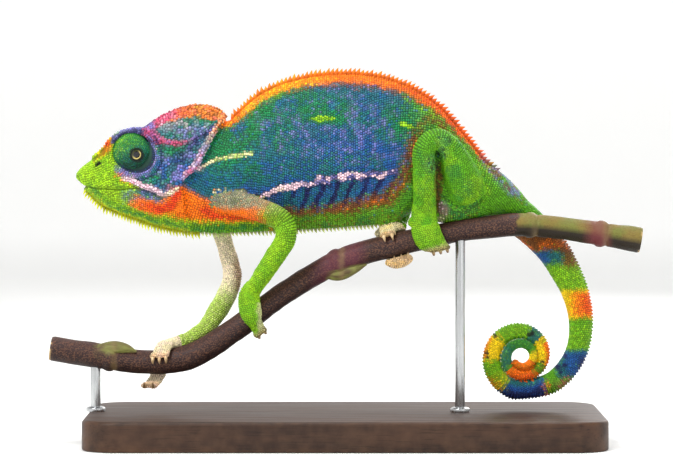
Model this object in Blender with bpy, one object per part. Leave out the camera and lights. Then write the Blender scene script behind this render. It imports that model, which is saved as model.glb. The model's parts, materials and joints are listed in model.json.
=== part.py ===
"""A chameleon gripping a cut length of branch, as a life-size still model on a plain display stand.

The animal faces -X and its left side faces -Y, with +Z up. The origin is the centre of the base's
underside. Every size is in millimetres until a mesh is made, which is in metres.
"""

import math

import bmesh
import bpy
from mathutils import Vector

MM = 0.001
GAP = 0.3  # left between neighbouring pieces
FOOT_GAP = 0.45  # left between the toes and the branch, whose flat sides bow inwards

SIDE = Vector((0, 1, 0))  # towards the animal's right
BODY_CORNERS = 16  # corners of one cross-section of the body and the head
BODY_SPACING = 7.0  # between the body's cross-sections
HEAD_SPACING = 4.6
TAIL_CORNERS = 9
TAIL_SPACING = 5.5
LIMB_CORNERS = 9
LIMB_SPACING = 4.8

# The trunk and pelvis: dorsal x, z, ventral x, z, middle y, half width, widest level, fullness.
# Fullness is the power of the section's curve: 1 is a lozenge and 2 is an ellipse.
TRUNK = (
    (-56.0, 126.0, -76.0, 87.5, 0.0, 10.2, 0.42, 1.70),
    (-46.0, 129.0, -62.0, 84.2, 0.0, 11.0, 0.44, 1.70),
    (-41.5, 133.4, -52.0, 83.4, 0.0, 11.8, 0.45, 1.65),
    (-34.0, 139.9, -40.0, 83.8, 0.0, 12.8, 0.46, 1.60),
    (-25.0, 144.3, -28.0, 84.2, 0.0, 13.8, 0.46, 1.60),
    (-12.0, 147.4, -13.0, 85.0, 0.0, 14.4, 0.46, 1.60),
    (2.0, 148.3, 2.0, 86.0, 0.0, 14.4, 0.46, 1.60),
    (15.0, 146.8, 14.0, 87.0, 0.0, 13.6, 0.46, 1.60),
    (26.5, 142.6, 22.5, 89.4, 0.0, 12.4, 0.46, 1.65),
    (36.5, 136.2, 29.5, 93.6, 0.0, 11.2, 0.46, 1.70),
    (43.9, 128.4, 36.4, 92.8, 0.2, 10.4, 0.47, 1.75),
    (50.4, 120.6, 42.2, 89.8, 0.6, 9.8, 0.48, 1.80),
    (56.0, 113.2, 47.2, 90.6, 1.4, 8.8, 0.49, 1.90),
    (61.1, 106.9, 51.4, 93.8, 2.8, 7.6, 0.50, 2.00),
)

# The head: x, top z, bottom z, half width, widest level, fullness above, fullness below.
HEAD = (
    (-107.3, 107.8, 105.2, 1.7, 0.50, 2.0, 2.0),
    (-105.4, 109.9, 103.4, 3.7, 0.46, 2.1, 2.0),
    (-102.0, 112.4, 99.4, 5.7, 0.45, 2.1, 2.0),
    (-98.0, 115.8, 95.4, 7.5, 0.46, 2.1, 2.0),
    (-94.0, 119.9, 93.2, 8.9, 0.48, 2.1, 1.9),
    (-90.0, 123.2, 91.5, 10.0, 0.50, 2.1, 1.8),
    (-86.0, 125.0, 90.1, 11.0, 0.51, 2.1, 1.8),
    (-82.0, 125.5, 88.7, 11.8, 0.50, 2.0, 1.8),
    (-78.6, 126.0, 87.5, 12.5, 0.48, 1.8, 1.8),
    (-75.0, 129.0, 86.4, 13.0, 0.46, 1.6, 1.8),
    (-70.0, 131.8, 85.3, 13.4, 0.44, 1.5, 1.8),
    (-64.0, 134.1, 84.3, 13.5, 0.44, 1.4, 1.8),
    (-58.0, 134.8, 83.6, 13.0, 0.46, 1.4, 1.8),
    (-52.0, 133.8, 83.5, 12.0, 0.50, 1.4, 1.8),
    (-48.0, 131.6, 83.5, 11.0, 0.52, 1.4, 1.8),
    (-46.5, 130.2, 83.5, 10.6, 0.52, 1.4, 1.8),
)

# The line of the mouth and the rear edge of the head, from the casque's tip to the throat: x, z.
MOUTH = ((-112.0, 107.0), (-104.4, 102.3), (-98.0, 101.5), (-90.0, 101.0), (-82.4, 101.8),
         (-77.0, 100.2), (-73.6, 98.5), (-69.5, 98.5), (-64.4, 98.5))
HEAD_REAR = ((-46.6, 150.0), (-46.6, 131.4), (-52.0, 123.0), (-56.0, 115.0), (-58.4, 110.6),
             (-61.5, 107.8), (-64.4, 105.0), (-64.4, 98.5))
THROAT_REAR = ((-64.4, 98.5), (-61.0, 75.0))
NECK_REAR = ((-34.0, 155.0), (-40.0, 75.0))  # between neck and chest
CHEST_REAR = ((-4.0, 155.0), (-4.0, 75.0))  # between chest and belly
BELLY_REAR = ((37.0, 155.0), (26.0, 75.0))  # between belly and pelvis

# The tail down to the coil: x, z, y, radius. It passes behind the branch.
TAIL = (
    (56.2, 100.4, 2.8, 7.8),
    (64.2, 92.6, 7.9, 6.9),
    (74.0, 85.6, 9.0, 6.4),
    (83.2, 76.8, 9.2, 6.3),
    (88.4, 68.4, 9.0, 5.9),
    (92.6, 59.4, 8.6, 5.3),
    (94.9, 48.0, 8.2, 4.8),
    (93.6, 36.6, 8.0, 4.4),
    (89.0, 28.2, 7.9, 4.3),
    (81.8, 22.4, 7.8, 4.2),
)
TAIL_WIDTH = 0.9  # of its height
COIL_CENTRE = (71.1, 33.7)
COIL_START = 13.9  # radius of the coil at its lowest point
COIL_DECAY = 0.64  # the radius falls by this exponent in each turn
COIL_TURNS = 2.15
COIL_THICKNESS = 0.295  # the tail's radius, as a part of the coil's radius
COIL_DRIFT = 2.0  # towards -Y in each turn
COIL_STEP = 24  # degrees between cross-sections

# Limbs from the body to the foot: x, z, y, radius. The index is that of the elbow or knee.
FORELEG_LEFT = (
    (-50.0, 98.0, -6.0, 5.0),
    (-42.0, 95.6, -11.0, 4.9),
    (-32.0, 92.6, -14.6, 4.6),
    (-24.6, 88.8, -16.0, 4.5),
    (-23.4, 82.4, -15.6, 4.3),
    (-28.2, 74.2, -12.8, 4.1),
    (-33.8, 65.6, -9.0, 3.7),
    (-38.6, 58.2, -4.8, 3.3),
)
FORELEG_RIGHT = (
    (-52.0, 97.0, 6.0, 4.6),
    (-50.4, 86.0, 10.0, 3.9),
    (-47.4, 75.0, 11.5, 3.6),
    (-45.4, 66.0, 11.8, 3.9),
    (-47.6, 58.4, 10.8, 4.1),
    (-51.6, 51.4, 8.8, 4.1),
    (-57.0, 44.2, 6.4, 3.3),
    (-64.5, 39.8, 4.6, 2.5),
)
HINDLEG_LEFT = (
    (49.5, 99.4, -4.0, 7.2),
    (46.6, 106.0, -9.0, 7.2),
    (43.8, 113.0, -12.8, 5.9),
    (41.0, 118.4, -15.2, 4.6),
    (35.8, 121.6, -16.8, 4.2),
    (31.2, 117.4, -17.2, 4.4),
    (31.4, 109.0, -15.6, 4.7),
    (31.6, 98.0, -11.0, 4.7),
    (32.0, 88.4, -4.6, 4.2),
)
HINDLEG_RIGHT = (
    (48.0, 100.5, 4.0, 5.6),
    (43.4, 107.4, 10.0, 6.0),
    (37.6, 113.4, 14.6, 5.4),
    (31.6, 113.8, 16.6, 4.8),
    (27.6, 107.6, 16.0, 4.6),
    (24.4, 98.0, 12.8, 4.3),
    (21.4, 87.4, 8.6, 3.7),
)

# The branch: x, z, y, radius.
BRANCH = (
    (-118.0, 37.2, 2.0, 5.0),
    (-98.0, 34.2, 1.6, 5.1),
    (-82.0, 31.8, 1.2, 4.8),
    (-66.0, 32.8, 0.8, 5.1),
    (-55.0, 37.6, 0.4, 5.0),
    (-42.0, 46.4, 0.0, 4.7),
    (-26.0, 58.4, -0.4, 4.6),
    (-10.0, 68.4, -0.8, 4.7),
    (2.0, 74.0, -1.2, 4.9),
    (22.0, 79.4, -1.6, 4.8),
    (46.0, 84.4, -2.2, 4.3),
    (70.0, 87.0, -2.8, 4.7),
    (94.0, 84.6, -3.4, 4.5),
    (118.0, 80.8, -4.0, 5.2),
)
BRANCH_CORNERS = 10
BRANCH_SPACING = 12.0
NODE_PLACES = (-94.0, -3.0, 74.0, 102.0)  # x of the swollen rings where leaves grew
NODE_SWELL = 0.6
NODE_REACH = 2.2

# Bud scales on the branch, from root to tip: x, z, y, radius.
BUDS = (
    ((-98.0, 35.6, 0.0, 3.6), (-92.5, 37.6, -1.0, 2.9), (-87.5, 37.4, -1.6, 2.0), (-83.5, 36.0, -1.8, 0.6)),
    ((-8.0, 69.0, -1.0, 3.4), (-2.5, 67.8, -1.8, 3.3), (3.4, 69.6, -2.4, 2.4), (8.6, 71.4, -2.8, 0.6)),
)
BUD_CORNERS = 8

# Eye turrets: the axis leans back and down, and each profile is (radius, distance along the axis).
TURRET_CENTRE = (-84.8, 116.2)
TURRET_AXIS = (0.20, 1.0, -0.12)
TURRET = ((5.4, 3.0), (7.2, 5.4), (7.5, 7.6), (7.1, 10.0), (5.9, 12.2), (4.2, 13.8), (2.6, 14.5),
          (2.3, 13.7))
TURRET_SIDES = 14
TURRET_MIDDLE = 7.0  # from the middle of the head to the point that the axis turns about
EYEBALL_SIDES = 10
EYEBALL = ((2.0, 14.0), (2.0, 14.3), (1.5, 14.8), (0.7, 15.1))

# Crests of pointed scales: distance between points, height, half width of the base.
DORSAL_CREST = (2.3, 1.5, 0.8)
GULAR_CREST = (2.6, 1.9, 0.8)
VENTRAL_CREST = (2.6, 1.4, 0.7)
CREST_ROOT = 1.4  # how deep a crest's base is sunk
CREST_VALLEY = 0.25  # its height between two points
CREST_SOLVER = "MANIFOLD"  # EXACT leaves open edges where a crest's valleys graze the skin

# Stand.
BASE_SIZE = (206.0, 92.0, 12.0)
BASE_CORNER = 14.0
BASE_CHAMFER = 1.6
ROD_RADIUS = 2.0
ROD_PLACES = {"stand_rod_front": -100.0, "stand_rod_rear": 46.0}
ROD_IN_BASE = 7.0
ROD_IN_BRANCH = 1.2  # past the branch's axis
BORE_LENGTH = 14.0  # of the tool that bores the branch or the base, which reaches out of both

# Feet: x of the foot on the branch and the palm's angle, then its two bundles of fused toes. Angles go
# round the branch in degrees, from its top towards -Y. A bundle has its number of toes, the angle of
# its end, the place of its palm and its end along the branch, the width of one toe, the thickness at
# the palm and the end, and how far its end stands off the branch.
FEET = {
    "forefoot_left": ((-37.0, 12.0), (
        (2, 152.0, (2.0, -4.2), 3.4, (4.4, 3.0), 0.0),
        (3, -116.0, (1.0, 1.0), 2.6, (4.4, 2.8), 0.0),
    )),
    "forefoot_right": ((-72.5, -24.0), (
        (3, 72.0, (3.0, -1.5), 3.0, (3.8, 2.8), 0.0),
        (2, -196.0, (3.0, -6.0), 3.6, (3.8, 2.8), 2.8),
    )),
    "hindfoot_left": ((32.0, 12.0), (
        (3, 134.0, (-0.5, 4.6), 3.2, (4.8, 3.0), 0.0),
        (2, -120.0, (0.0, 0.0), 3.8, (4.4, 2.8), 0.0),
    )),
    "hindfoot_right": ((20.0, -34.0), (
        (2, 64.0, (0.0, -2.0), 3.6, (3.4, 2.8), 0.0),
        (3, -214.0, (-2.0, 1.4), 3.2, (3.8, 3.2), 0.0),
    )),
}

TOE_STEP = 20  # degrees between a bundle's cross-sections
PALM_GAP = 1.6  # degrees from the palm's middle to where each bundle starts

# A claw: degrees past the toe's end, height as a part of the toe's thickness, radius.
CLAW = ((-8.0, 0.50, 0.95), (16.0, 0.66, 0.80), (38.0, 0.50, 0.25))
CLAW_CORNERS = 6

# Each limb's path, the station at its elbow or knee, and its foot.
LIMBS = {
    "foreleg_left": (FORELEG_LEFT, 4, "forefoot_left"),
    "foreleg_right": (FORELEG_RIGHT, 4, "forefoot_right"),
    "hindleg_left": (HINDLEG_LEFT, 4, "hindfoot_left"),
    "hindleg_right": (HINDLEG_RIGHT, 3, "hindfoot_right"),
}

COLOURS = {
    "head": (0.36, 0.60, 0.10),
    "jaw": (0.42, 0.62, 0.10),
    "neck": (0.16, 0.40, 0.42),
    "chest": (0.10, 0.30, 0.42),
    "belly": (0.10, 0.26, 0.40),
    "pelvis": (0.22, 0.55, 0.12),
    "tail": (0.36, 0.58, 0.10),
    "limb": (0.30, 0.58, 0.10),
    "foot": (0.62, 0.60, 0.30),
    "eye_turret": (0.10, 0.42, 0.16),
    "eye": (0.01, 0.01, 0.01),
    "branch": (0.14, 0.07, 0.06),
    "bud": (0.34, 0.32, 0.14),
    "base": (0.09, 0.08, 0.07),
    "rod": (0.55, 0.56, 0.57),
}


def clear_scene():
    for thing in list(bpy.data.objects):
        bpy.data.objects.remove(thing, do_unlink=True)


def material(name, colour, roughness, metallic=0.0):
    made = bpy.data.materials.new(name)
    made.use_nodes = True
    shader = made.node_tree.nodes["Principled BSDF"]
    shader.inputs["Base Color"].default_value = (*colour, 1.0)
    shader.inputs["Roughness"].default_value = roughness
    shader.inputs["Metallic"].default_value = metallic
    made.diffuse_color = (*colour, 1.0)
    return made


def dress(thing, kind, roughness=0.6, metallic=0.0):
    """Gives a finished piece its own material."""
    thing.data.materials.clear()
    thing.data.materials.append(material(thing.name, COLOURS[kind], roughness, metallic))
    return thing


def loft(name, rings):
    """A closed solid through rings of equal length, capped at both ends."""
    mesh = bmesh.new()
    made = [[mesh.verts.new(point * MM) for point in ring] for ring in rings]
    for near, far in zip(made, made[1:]):
        for k in range(len(near)):
            mesh.faces.new((near[k - 1], near[k], far[k], far[k - 1]))
    mesh.faces.new(made[0])
    mesh.faces.new(made[-1])
    bmesh.ops.recalc_face_normals(mesh, faces=mesh.faces)
    data = bpy.data.meshes.new(name)
    mesh.to_mesh(data)
    mesh.free()
    thing = bpy.data.objects.new(name, data)
    bpy.context.scene.collection.objects.link(thing)
    return thing


def boolean(thing, tool, operation, keep_tool=False, solver="EXACT"):
    """Applies one Boolean of the tool to the thing, and removes the tool."""
    step = thing.modifiers.new(operation, "BOOLEAN")
    step.operation = operation
    step.solver = solver
    step.object = tool
    bpy.context.view_layer.objects.active = thing
    bpy.ops.object.modifier_apply(modifier=step.name)
    if not keep_tool:
        bpy.data.objects.remove(tool, do_unlink=True)
    return thing


def duplicate(thing, name):
    made = thing.copy()
    made.data = thing.data.copy()
    made.name = name
    bpy.context.scene.collection.objects.link(made)
    return made


def smooth(stations, spacing):
    """Rows on a smooth curve through the stations, about this far apart in their first two numbers."""
    marks = [0.0]
    for here, there in zip(stations, stations[1:]):
        marks.append(marks[-1] + math.dist(here[:2], there[:2]))
    rows = []
    for k in range(len(stations) - 1):
        steps = max(1, round((marks[k + 1] - marks[k]) / spacing))
        rows += [on_curve(stations, marks, k, step / steps) for step in range(steps)]
    rows.append(stations[-1])
    return rows


def on_curve(stations, marks, k, part):
    """One row: a cubic between stations k and k + 1, with slopes from the stations on each side."""
    span = marks[k + 1] - marks[k]
    start = slope(stations, marks, k)
    end = slope(stations, marks, k + 1)
    square = part * part
    cube = square * part
    return tuple(
        (2 * cube - 3 * square + 1) * a
        + (cube - 2 * square + part) * span * m
        + (3 * square - 2 * cube) * b
        + (cube - square) * span * n
        for a, b, m, n in zip(stations[k], stations[k + 1], start, end)
    )


def slope(stations, marks, k):
    before = max(k - 1, 0)
    after = min(k + 1, len(stations) - 1)
    run = marks[after] - marks[before]
    return tuple((b - a) / run for a, b in zip(stations[before], stations[after]))


def powered(value, power):
    return math.copysign(abs(value) ** power, value)


def section(high, low, half_width, level, above, below):
    """A cross-section between its high and low points, widest at the level between them."""
    middle = low.lerp(high, level)
    ring = []
    for k in range(BODY_CORNERS):
        turn = 2 * math.pi * k / BODY_CORNERS
        up = math.cos(turn)
        fullness = above if up >= 0 else below
        reach = high - middle if up >= 0 else middle - low
        across = half_width * powered(math.sin(turn), 2 / fullness)
        ring.append(middle + reach * powered(up, 2 / fullness) + SIDE * across)
    return ring


def trunk_rings(grow=0.0):
    """The trunk's cross-sections, each moved out by grow."""
    rings = []
    for dorsal_x, dorsal_z, ventral_x, ventral_z, y, width, level, full in smooth(TRUNK, BODY_SPACING):
        high = Vector((dorsal_x, y, dorsal_z))
        low = Vector((ventral_x, y, ventral_z))
        reach = (high - low).normalized() * grow
        rings.append(section(high + reach, low - reach, width + grow, level, full, full))
    return rings


def head_rings():
    rings = []
    for x, top, bottom, width, level, above, below in smooth(HEAD, HEAD_SPACING):
        high = Vector((x, 0, top))
        low = Vector((x, 0, bottom))
        rings.append(section(high, low, width, level, above, below))
    return rings


def round_ring(centre, ahead, radius, corners, flat=1.0):
    """A round cross-section facing ahead. Flat is its width as a part of its height."""
    aside = SIDE if abs(ahead.y) < 0.8 else Vector((1, 0, 0))
    across = (aside - ahead * aside.dot(ahead)).normalized()
    out = across.cross(ahead)
    turns = [2 * math.pi * k / corners for k in range(corners)]
    return [
        centre + out * radius * math.cos(turn) + across * radius * flat * math.sin(turn)
        for turn in turns
    ]


def tube_rings(rows, corners, flat=1.0):
    """Round cross-sections across a path of x, z, y, radius."""
    centres = [Vector((x, y, z)) for x, z, y, _ in rows]
    rings = []
    for k, row in enumerate(rows):
        ahead = centres[min(k + 1, len(rows) - 1)] - centres[max(k - 1, 0)]
        rings.append(round_ring(centres[k], ahead.normalized(), row[3], corners, flat))
    return rings


def prism(outline):
    """A helper that runs an outline of x, z through the whole animal from side to side."""
    reach = 60
    return loft("helper", [[Vector((x, y, z)) for x, z in outline] for y in (-reach, reach)])


def moved(line, dx, dz):
    return [(x + dx, z + dz) for x, z in line]


def part_of(form, name, outline):
    """A copy of the form, with only what lies inside the outline."""
    return boolean(duplicate(form, name), prism(outline), "INTERSECT", solver=CREST_SOLVER)


def crest(line, size):
    """A row of pointed scales along a line of (point, outward), as one closed ridge."""
    spacing, height, half_width = size
    places = [0.0]
    for (here, _), (there, _) in zip(line, line[1:]):
        places.append(places[-1] + (there - here).length)
    teeth = int(places[-1] / spacing)
    rings = []
    for k in range(2 * teeth + 1):
        target = places[-1] * k / (2 * teeth)
        j = max(i for i, place in enumerate(places[:-1]) if place <= target)
        part = (target - places[j]) / (places[j + 1] - places[j])
        point = line[j][0].lerp(line[j + 1][0], part)
        out = line[j][1].lerp(line[j + 1][1], part).normalized()
        rise = height if k % 2 else CREST_VALLEY
        foot = point - out * CREST_ROOT
        rings.append([foot - SIDE * half_width, foot + SIDE * half_width, point + out * rise])
    return loft("helper", rings)


def edge_line(rings, dorsal, first_x, last_x):
    """The ridge of some cross-sections as (point, outward), between two values of x."""
    line = []
    for ring in rings:
        high = ring[0]
        low = ring[BODY_CORNERS // 2]
        point, other = (high, low) if dorsal else (low, high)
        if first_x <= point.x <= last_x:
            line.append((point, (point - other).normalized()))
    return line


def build_head():
    rings = head_rings()
    form = loft("head_form", rings)
    boolean(form, crest(edge_line(rings, False, -104.0, -58.0), GULAR_CREST), "UNION", solver=CREST_SOLVER)
    for way in (-1, 1):
        boolean(form, turret_solid("helper", way, GAP), "DIFFERENCE")
    above_mouth = moved(MOUTH, 0, GAP / 2)
    rear = moved(HEAD_REAR, -GAP / 2, 0)
    head = part_of(form, "head", above_mouth[:-1] + rear[::-1] + [(-112.0, 150.0)])
    below_mouth = moved(MOUTH, 0, -GAP / 2)
    throat = moved(THROAT_REAR, -GAP / 2, -GAP / 2)
    jaw = part_of(form, "jaw", below_mouth[:-1] + throat + [(-112.0, 75.0)])
    bpy.data.objects.remove(form, do_unlink=True)
    dress(head, "head")
    dress(jaw, "jaw")


def build_trunk():
    rings = trunk_rings()
    form = loft("trunk_form", rings)
    boolean(form, crest(edge_line(rings, True, -45.0, 60.5), DORSAL_CREST), "UNION", solver=CREST_SOLVER)
    boolean(form, crest(edge_line(rings, False, -66.0, 22.0), VENTRAL_CREST), "UNION", solver=CREST_SOLVER)
    half = GAP / 2
    front = moved(HEAD_REAR, half, 0) + moved(THROAT_REAR, half, 0)[1:]
    neck = part_of(form, "neck", front + moved(NECK_REAR, -half, 0)[::-1])
    chest = part_of(form, "chest", moved(NECK_REAR, half, 0) + moved(CHEST_REAR, -half, 0)[::-1])
    belly = part_of(form, "belly", moved(CHEST_REAR, half, 0) + moved(BELLY_REAR, -half, 0)[::-1])
    pelvis = part_of(form, "pelvis", moved(BELLY_REAR, half, 0) + [(70.0, 75.0), (70.0, 155.0)])
    bpy.data.objects.remove(form, do_unlink=True)
    for piece in (neck, chest, belly, pelvis):
        dress(piece, piece.name)


def tail_rows():
    """The whole tail from its root to its tip, with the coil from its formula."""
    rows = smooth(TAIL, TAIL_SPACING)
    last_y = TAIL[-1][2]
    for k in range(int(COIL_TURNS * 360 / COIL_STEP) + 1):
        turns = k * COIL_STEP / 360
        radius = COIL_START * math.exp(-COIL_DECAY * turns)
        angle = math.radians(-90) - 2 * math.pi * turns
        rows.append((
            COIL_CENTRE[0] + radius * math.cos(angle),
            COIL_CENTRE[1] + radius * math.sin(angle),
            last_y - COIL_DRIFT * turns,
            radius * COIL_THICKNESS,
        ))
    return rows


def lengths_of(rings, cuts):
    """Splits a run of rings at these indices. Each later length starts one gap beyond the earlier one."""
    lengths = []
    for first, last in zip(cuts, cuts[1:]):
        run = rings[first:last + 1]
        if first:
            ahead = (run[1][0] + run[1][len(run[1]) // 2] - run[0][0] - run[0][len(run[0]) // 2])
            run[0] = [point + ahead.normalized() * GAP for point in run[0]]
        lengths.append(run)
    return lengths


def build_tail():
    rows = tail_rows()
    straight = len(smooth(TAIL, TAIL_SPACING))
    turn = 360 // COIL_STEP
    names = ("tail_root", "tail_middle", "tail_coil_outer", "tail_coil_inner")
    cuts = (0, straight // 2 - 2, straight - 1, straight + turn, len(rows) - 1)
    rings = tube_rings(rows, TAIL_CORNERS, TAIL_WIDTH)
    x, z, y, radius = rows[0]
    ahead = SIDE.cross(Vector((TRUNK[-1][0] - TRUNK[-1][2], 0, TRUNK[-1][1] - TRUNK[-1][3]))).normalized()
    rings[0] = round_ring(Vector((x, y, z)) + ahead * GAP, ahead, radius, TAIL_CORNERS, TAIL_WIDTH)
    for name, length in zip(names, lengths_of(rings, cuts)):
        dress(loft(name, length), "tail")


def branch_rows():
    """Cross-sections of the branch: even steps, and closer ones at each swollen ring."""
    first = BRANCH[0][0]
    length = BRANCH[-1][0] - first
    steps = round(length / BRANCH_SPACING)
    places = {round(first + length * k / steps, 1) for k in range(steps + 1)}
    for node in NODE_PLACES:
        places = {x for x in places if abs(x - node) > 2 * NODE_REACH}
        places |= {node + NODE_REACH * part for part in (-1.6, -0.5, 0.5, 1.6)}
    rows = []
    for x in sorted(places):
        centre, _, radius = branch_at(x)
        swell = sum(NODE_SWELL for node in NODE_PLACES if abs(x - node) < NODE_REACH)
        rows.append((centre.x, centre.z, centre.y, radius + swell))
    return rows


def branch_at(x):
    """The branch's centre, direction and radius at one x."""
    marks = [row[0] for row in BRANCH]
    k = max(i for i, mark in enumerate(marks[:-1]) if mark <= x or i == 0)
    here = on_curve(BRANCH, marks, k, (x - marks[k]) / (marks[k + 1] - marks[k]))
    near = on_curve(BRANCH, marks, k, (x + 0.1 - marks[k]) / (marks[k + 1] - marks[k]))
    centre = Vector((here[0], here[2], here[1]))
    ahead = (Vector((near[0], near[2], near[1])) - centre).normalized()
    return centre, ahead, here[3]


def build_branch():
    branch = loft("perch_branch", tube_rings(branch_rows(), BRANCH_CORNERS))
    for bud in BUDS:
        boolean(branch, loft("helper", tube_rings(bud, BUD_CORNERS)), "UNION")
    for x in ROD_PLACES.values():
        centre, _, _ = branch_at(x)
        top = centre.z + ROD_IN_BRANCH + GAP
        bore = cylinder("helper", (x, centre.y), top - BORE_LENGTH, top, ROD_RADIUS + GAP)
        boolean(branch, bore, "DIFFERENCE")
    dress(branch, "branch", 0.55)


def cylinder(name, place, bottom, top, radius, corners=12):
    rings = [
        [
            Vector((
                place[0] + radius * math.cos(2 * math.pi * k / corners),
                place[1] + radius * math.sin(2 * math.pi * k / corners),
                z,
            ))
            for k in range(corners)
        ]
        for z in (bottom, top)
    ]
    return loft(name, rings)


def base_outline(inset, z):
    length = BASE_SIZE[0] / 2 - inset
    width = BASE_SIZE[1] / 2 - inset
    radius = BASE_CORNER - inset
    ring = []
    for corner, (sx, sy) in enumerate(((1, 1), (-1, 1), (-1, -1), (1, -1))):
        for k in range(6):
            turn = math.radians(90 * corner + 18 * k)
            ring.append(Vector((
                sx * (length - radius) + radius * math.cos(turn),
                sy * (width - radius) + radius * math.sin(turn),
                z,
            )))
    return ring


def build_stand():
    top = BASE_SIZE[2]
    rings = [base_outline(0, 0), base_outline(0, top - BASE_CHAMFER), base_outline(BASE_CHAMFER, top)]
    base = loft("stand_base", rings)
    for name, x in ROD_PLACES.items():
        centre, _, _ = branch_at(x)
        place = (x, centre.y)
        foot = top - ROD_IN_BASE
        pocket = cylinder("helper", place, foot, foot + BORE_LENGTH, ROD_RADIUS + GAP)
        boolean(base, pocket, "DIFFERENCE")
        rod = cylinder(name, place, foot + GAP, centre.z + ROD_IN_BRANCH, ROD_RADIUS)
        dress(rod, "rod", 0.3, 1.0)
    dress(base, "base", 0.45)


def lathe(name, profile, way, sides, grow=0.0):
    """A turned solid on one eye's axis, which turns about the middle of the turret."""
    axis = Vector((TURRET_AXIS[0], way * TURRET_AXIS[1], TURRET_AXIS[2])).normalized()
    middle = Vector((TURRET_CENTRE[0], way * TURRET_MIDDLE, TURRET_CENTRE[1]))
    rings = [
        round_ring(middle + axis * (along - TURRET_MIDDLE), axis, radius + grow, sides)
        for radius, along in profile
    ]
    return loft(name, rings)


def turret_solid(name, way, grow=0.0):
    if not grow:
        return lathe(name, TURRET, way, TURRET_SIDES)
    outside = [(TURRET[0][0], TURRET[0][1] - grow)] + list(TURRET[1:-1])
    return lathe(name, outside + [(TURRET[-2][0], 20.0)], way, TURRET_SIDES, grow)


def build_eyes():
    for way, side in ((-1, "left"), (1, "right")):
        dress(turret_solid(f"eye_turret_{side}", way), "eye_turret")
        dress(lathe(f"eye_{side}", EYEBALL, way, EYEBALL_SIDES), "eye", 0.1)


def toe_bundle(name, foot, bundle, grow=0.0):
    """Toes fused side by side, bent round the branch, with a claw on each."""
    place, palm = foot
    toes, end, lean, toe_width, thickness, flare = bundle
    steps = max(4, round(abs(end - palm) / TOE_STEP))
    start = palm + math.copysign(PALM_GAP - grow * 5, end - palm)
    rings = []
    for j in range(steps + 1):
        part = j / steps
        angle = start + (end - start) * part
        shift = lean[0] + (lean[1] - lean[0]) * part
        half = toes * toe_width / 2 * (1.15 - 0.25 * part) + grow
        depth = thickness[0] + (thickness[1] - thickness[0]) * part
        lift = FOOT_GAP + flare * max(0, part - 0.5) * 2 - grow
        rings.append([
            branch_point(place, shift + across * half, angle, lift + (depth + 2 * grow) * height)
            for across, height in toe_section(toes, part)
        ])
    solid = loft(name, rings)
    if not grow:
        for k in range(toes):
            along = lean[1] + (2 * k + 1 - toes) * toe_width * 0.45
            height = FOOT_GAP + flare
            boolean(solid, claw_solid(place, along, end, height, thickness[1]), "UNION")
    return solid


def toe_section(toes, part):
    """Points of a bundle's section as (across -1..1, height 0..1): flat below, one hump to a toe."""
    valley = 0.97 - 0.27 * part
    points = [(-0.8, 0.0)]
    for k in range(2 * toes + 1):
        across = k / toes - 1
        if k in (0, 2 * toes):
            points.append((across, 0.45))
        else:
            points.append((across, 1.0 if k % 2 else valley))
    points.append((0.8, 0.0))
    return points


def branch_point(place, along, angle, height):
    """A point over the branch's skin: along it, round it from the top towards -Y, and above it."""
    _, ahead, _ = branch_at(place)
    centre, ahead, radius = branch_at(place + along * ahead.x)
    out = SIDE.cross(ahead) * -1
    turn = math.radians(angle)
    way = out * math.cos(turn) - SIDE * math.sin(turn)
    return centre + way * (radius + height)


def claw_solid(place, along, end, height, thickness):
    """One claw, which starts inside the toe's end and runs on round the branch to a point."""
    rings = []
    for turn, middle, radius in CLAW:
        angle = end + math.copysign(turn, turn * end)
        rings.append([
            branch_point(
                place,
                along + radius * math.cos(2 * math.pi * k / CLAW_CORNERS),
                angle,
                height + thickness * middle + radius * math.sin(2 * math.pi * k / CLAW_CORNERS),
            )
            for k in range(CLAW_CORNERS)
        ])
    return loft("helper", rings)


def build_feet():
    for name, (foot, bundles) in FEET.items():
        for bundle, which in zip(bundles, ("near", "far")):
            dress(toe_bundle(f"{name}_{which}", foot, bundle), "foot")


def build_limbs():
    body = loft("body_clearance", trunk_rings(GAP))
    around_branch = [(x, z, y, radius + GAP) for x, z, y, radius in branch_rows()]
    branch = loft("branch_clearance", tube_rings(around_branch, BRANCH_CORNERS))
    for name, (path, joint, foot_name) in LIMBS.items():
        rings = tube_rings(smooth(path, LIMB_SPACING), LIMB_CORNERS)
        cut = len(smooth(path[:joint + 1], LIMB_SPACING)) - 1
        upper_rings, lower_rings = lengths_of(rings, (0, cut, len(rings) - 1))
        upper = loft(f"{name}_upper", upper_rings)
        lower = loft(f"{name}_lower", lower_rings)
        boolean(upper, body, "DIFFERENCE", keep_tool=True)
        boolean(lower, body, "DIFFERENCE", keep_tool=True)
        boolean(lower, branch, "DIFFERENCE", keep_tool=True)
        foot, bundles = FEET[foot_name]
        for bundle in bundles:
            boolean(lower, toe_bundle("helper", foot, bundle, GAP), "DIFFERENCE")
        dress(upper, "limb")
        dress(lower, "limb")
    bpy.data.objects.remove(body, do_unlink=True)
    bpy.data.objects.remove(branch, do_unlink=True)


def main():
    clear_scene()
    build_head()
    build_trunk()
    build_tail()
    build_branch()
    build_stand()
    build_eyes()
    build_feet()
    build_limbs()


main()
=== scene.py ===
"""Looks for a life-size still model of a chameleon that grips a cut length of branch on a display stand.

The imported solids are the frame. One skin stands for the nodes of flesh, and a coat of solid scales lies
over it. The animal faces -X and its left side faces -Y. Sizes are in millimetres until a mesh is made.
"""

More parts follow.
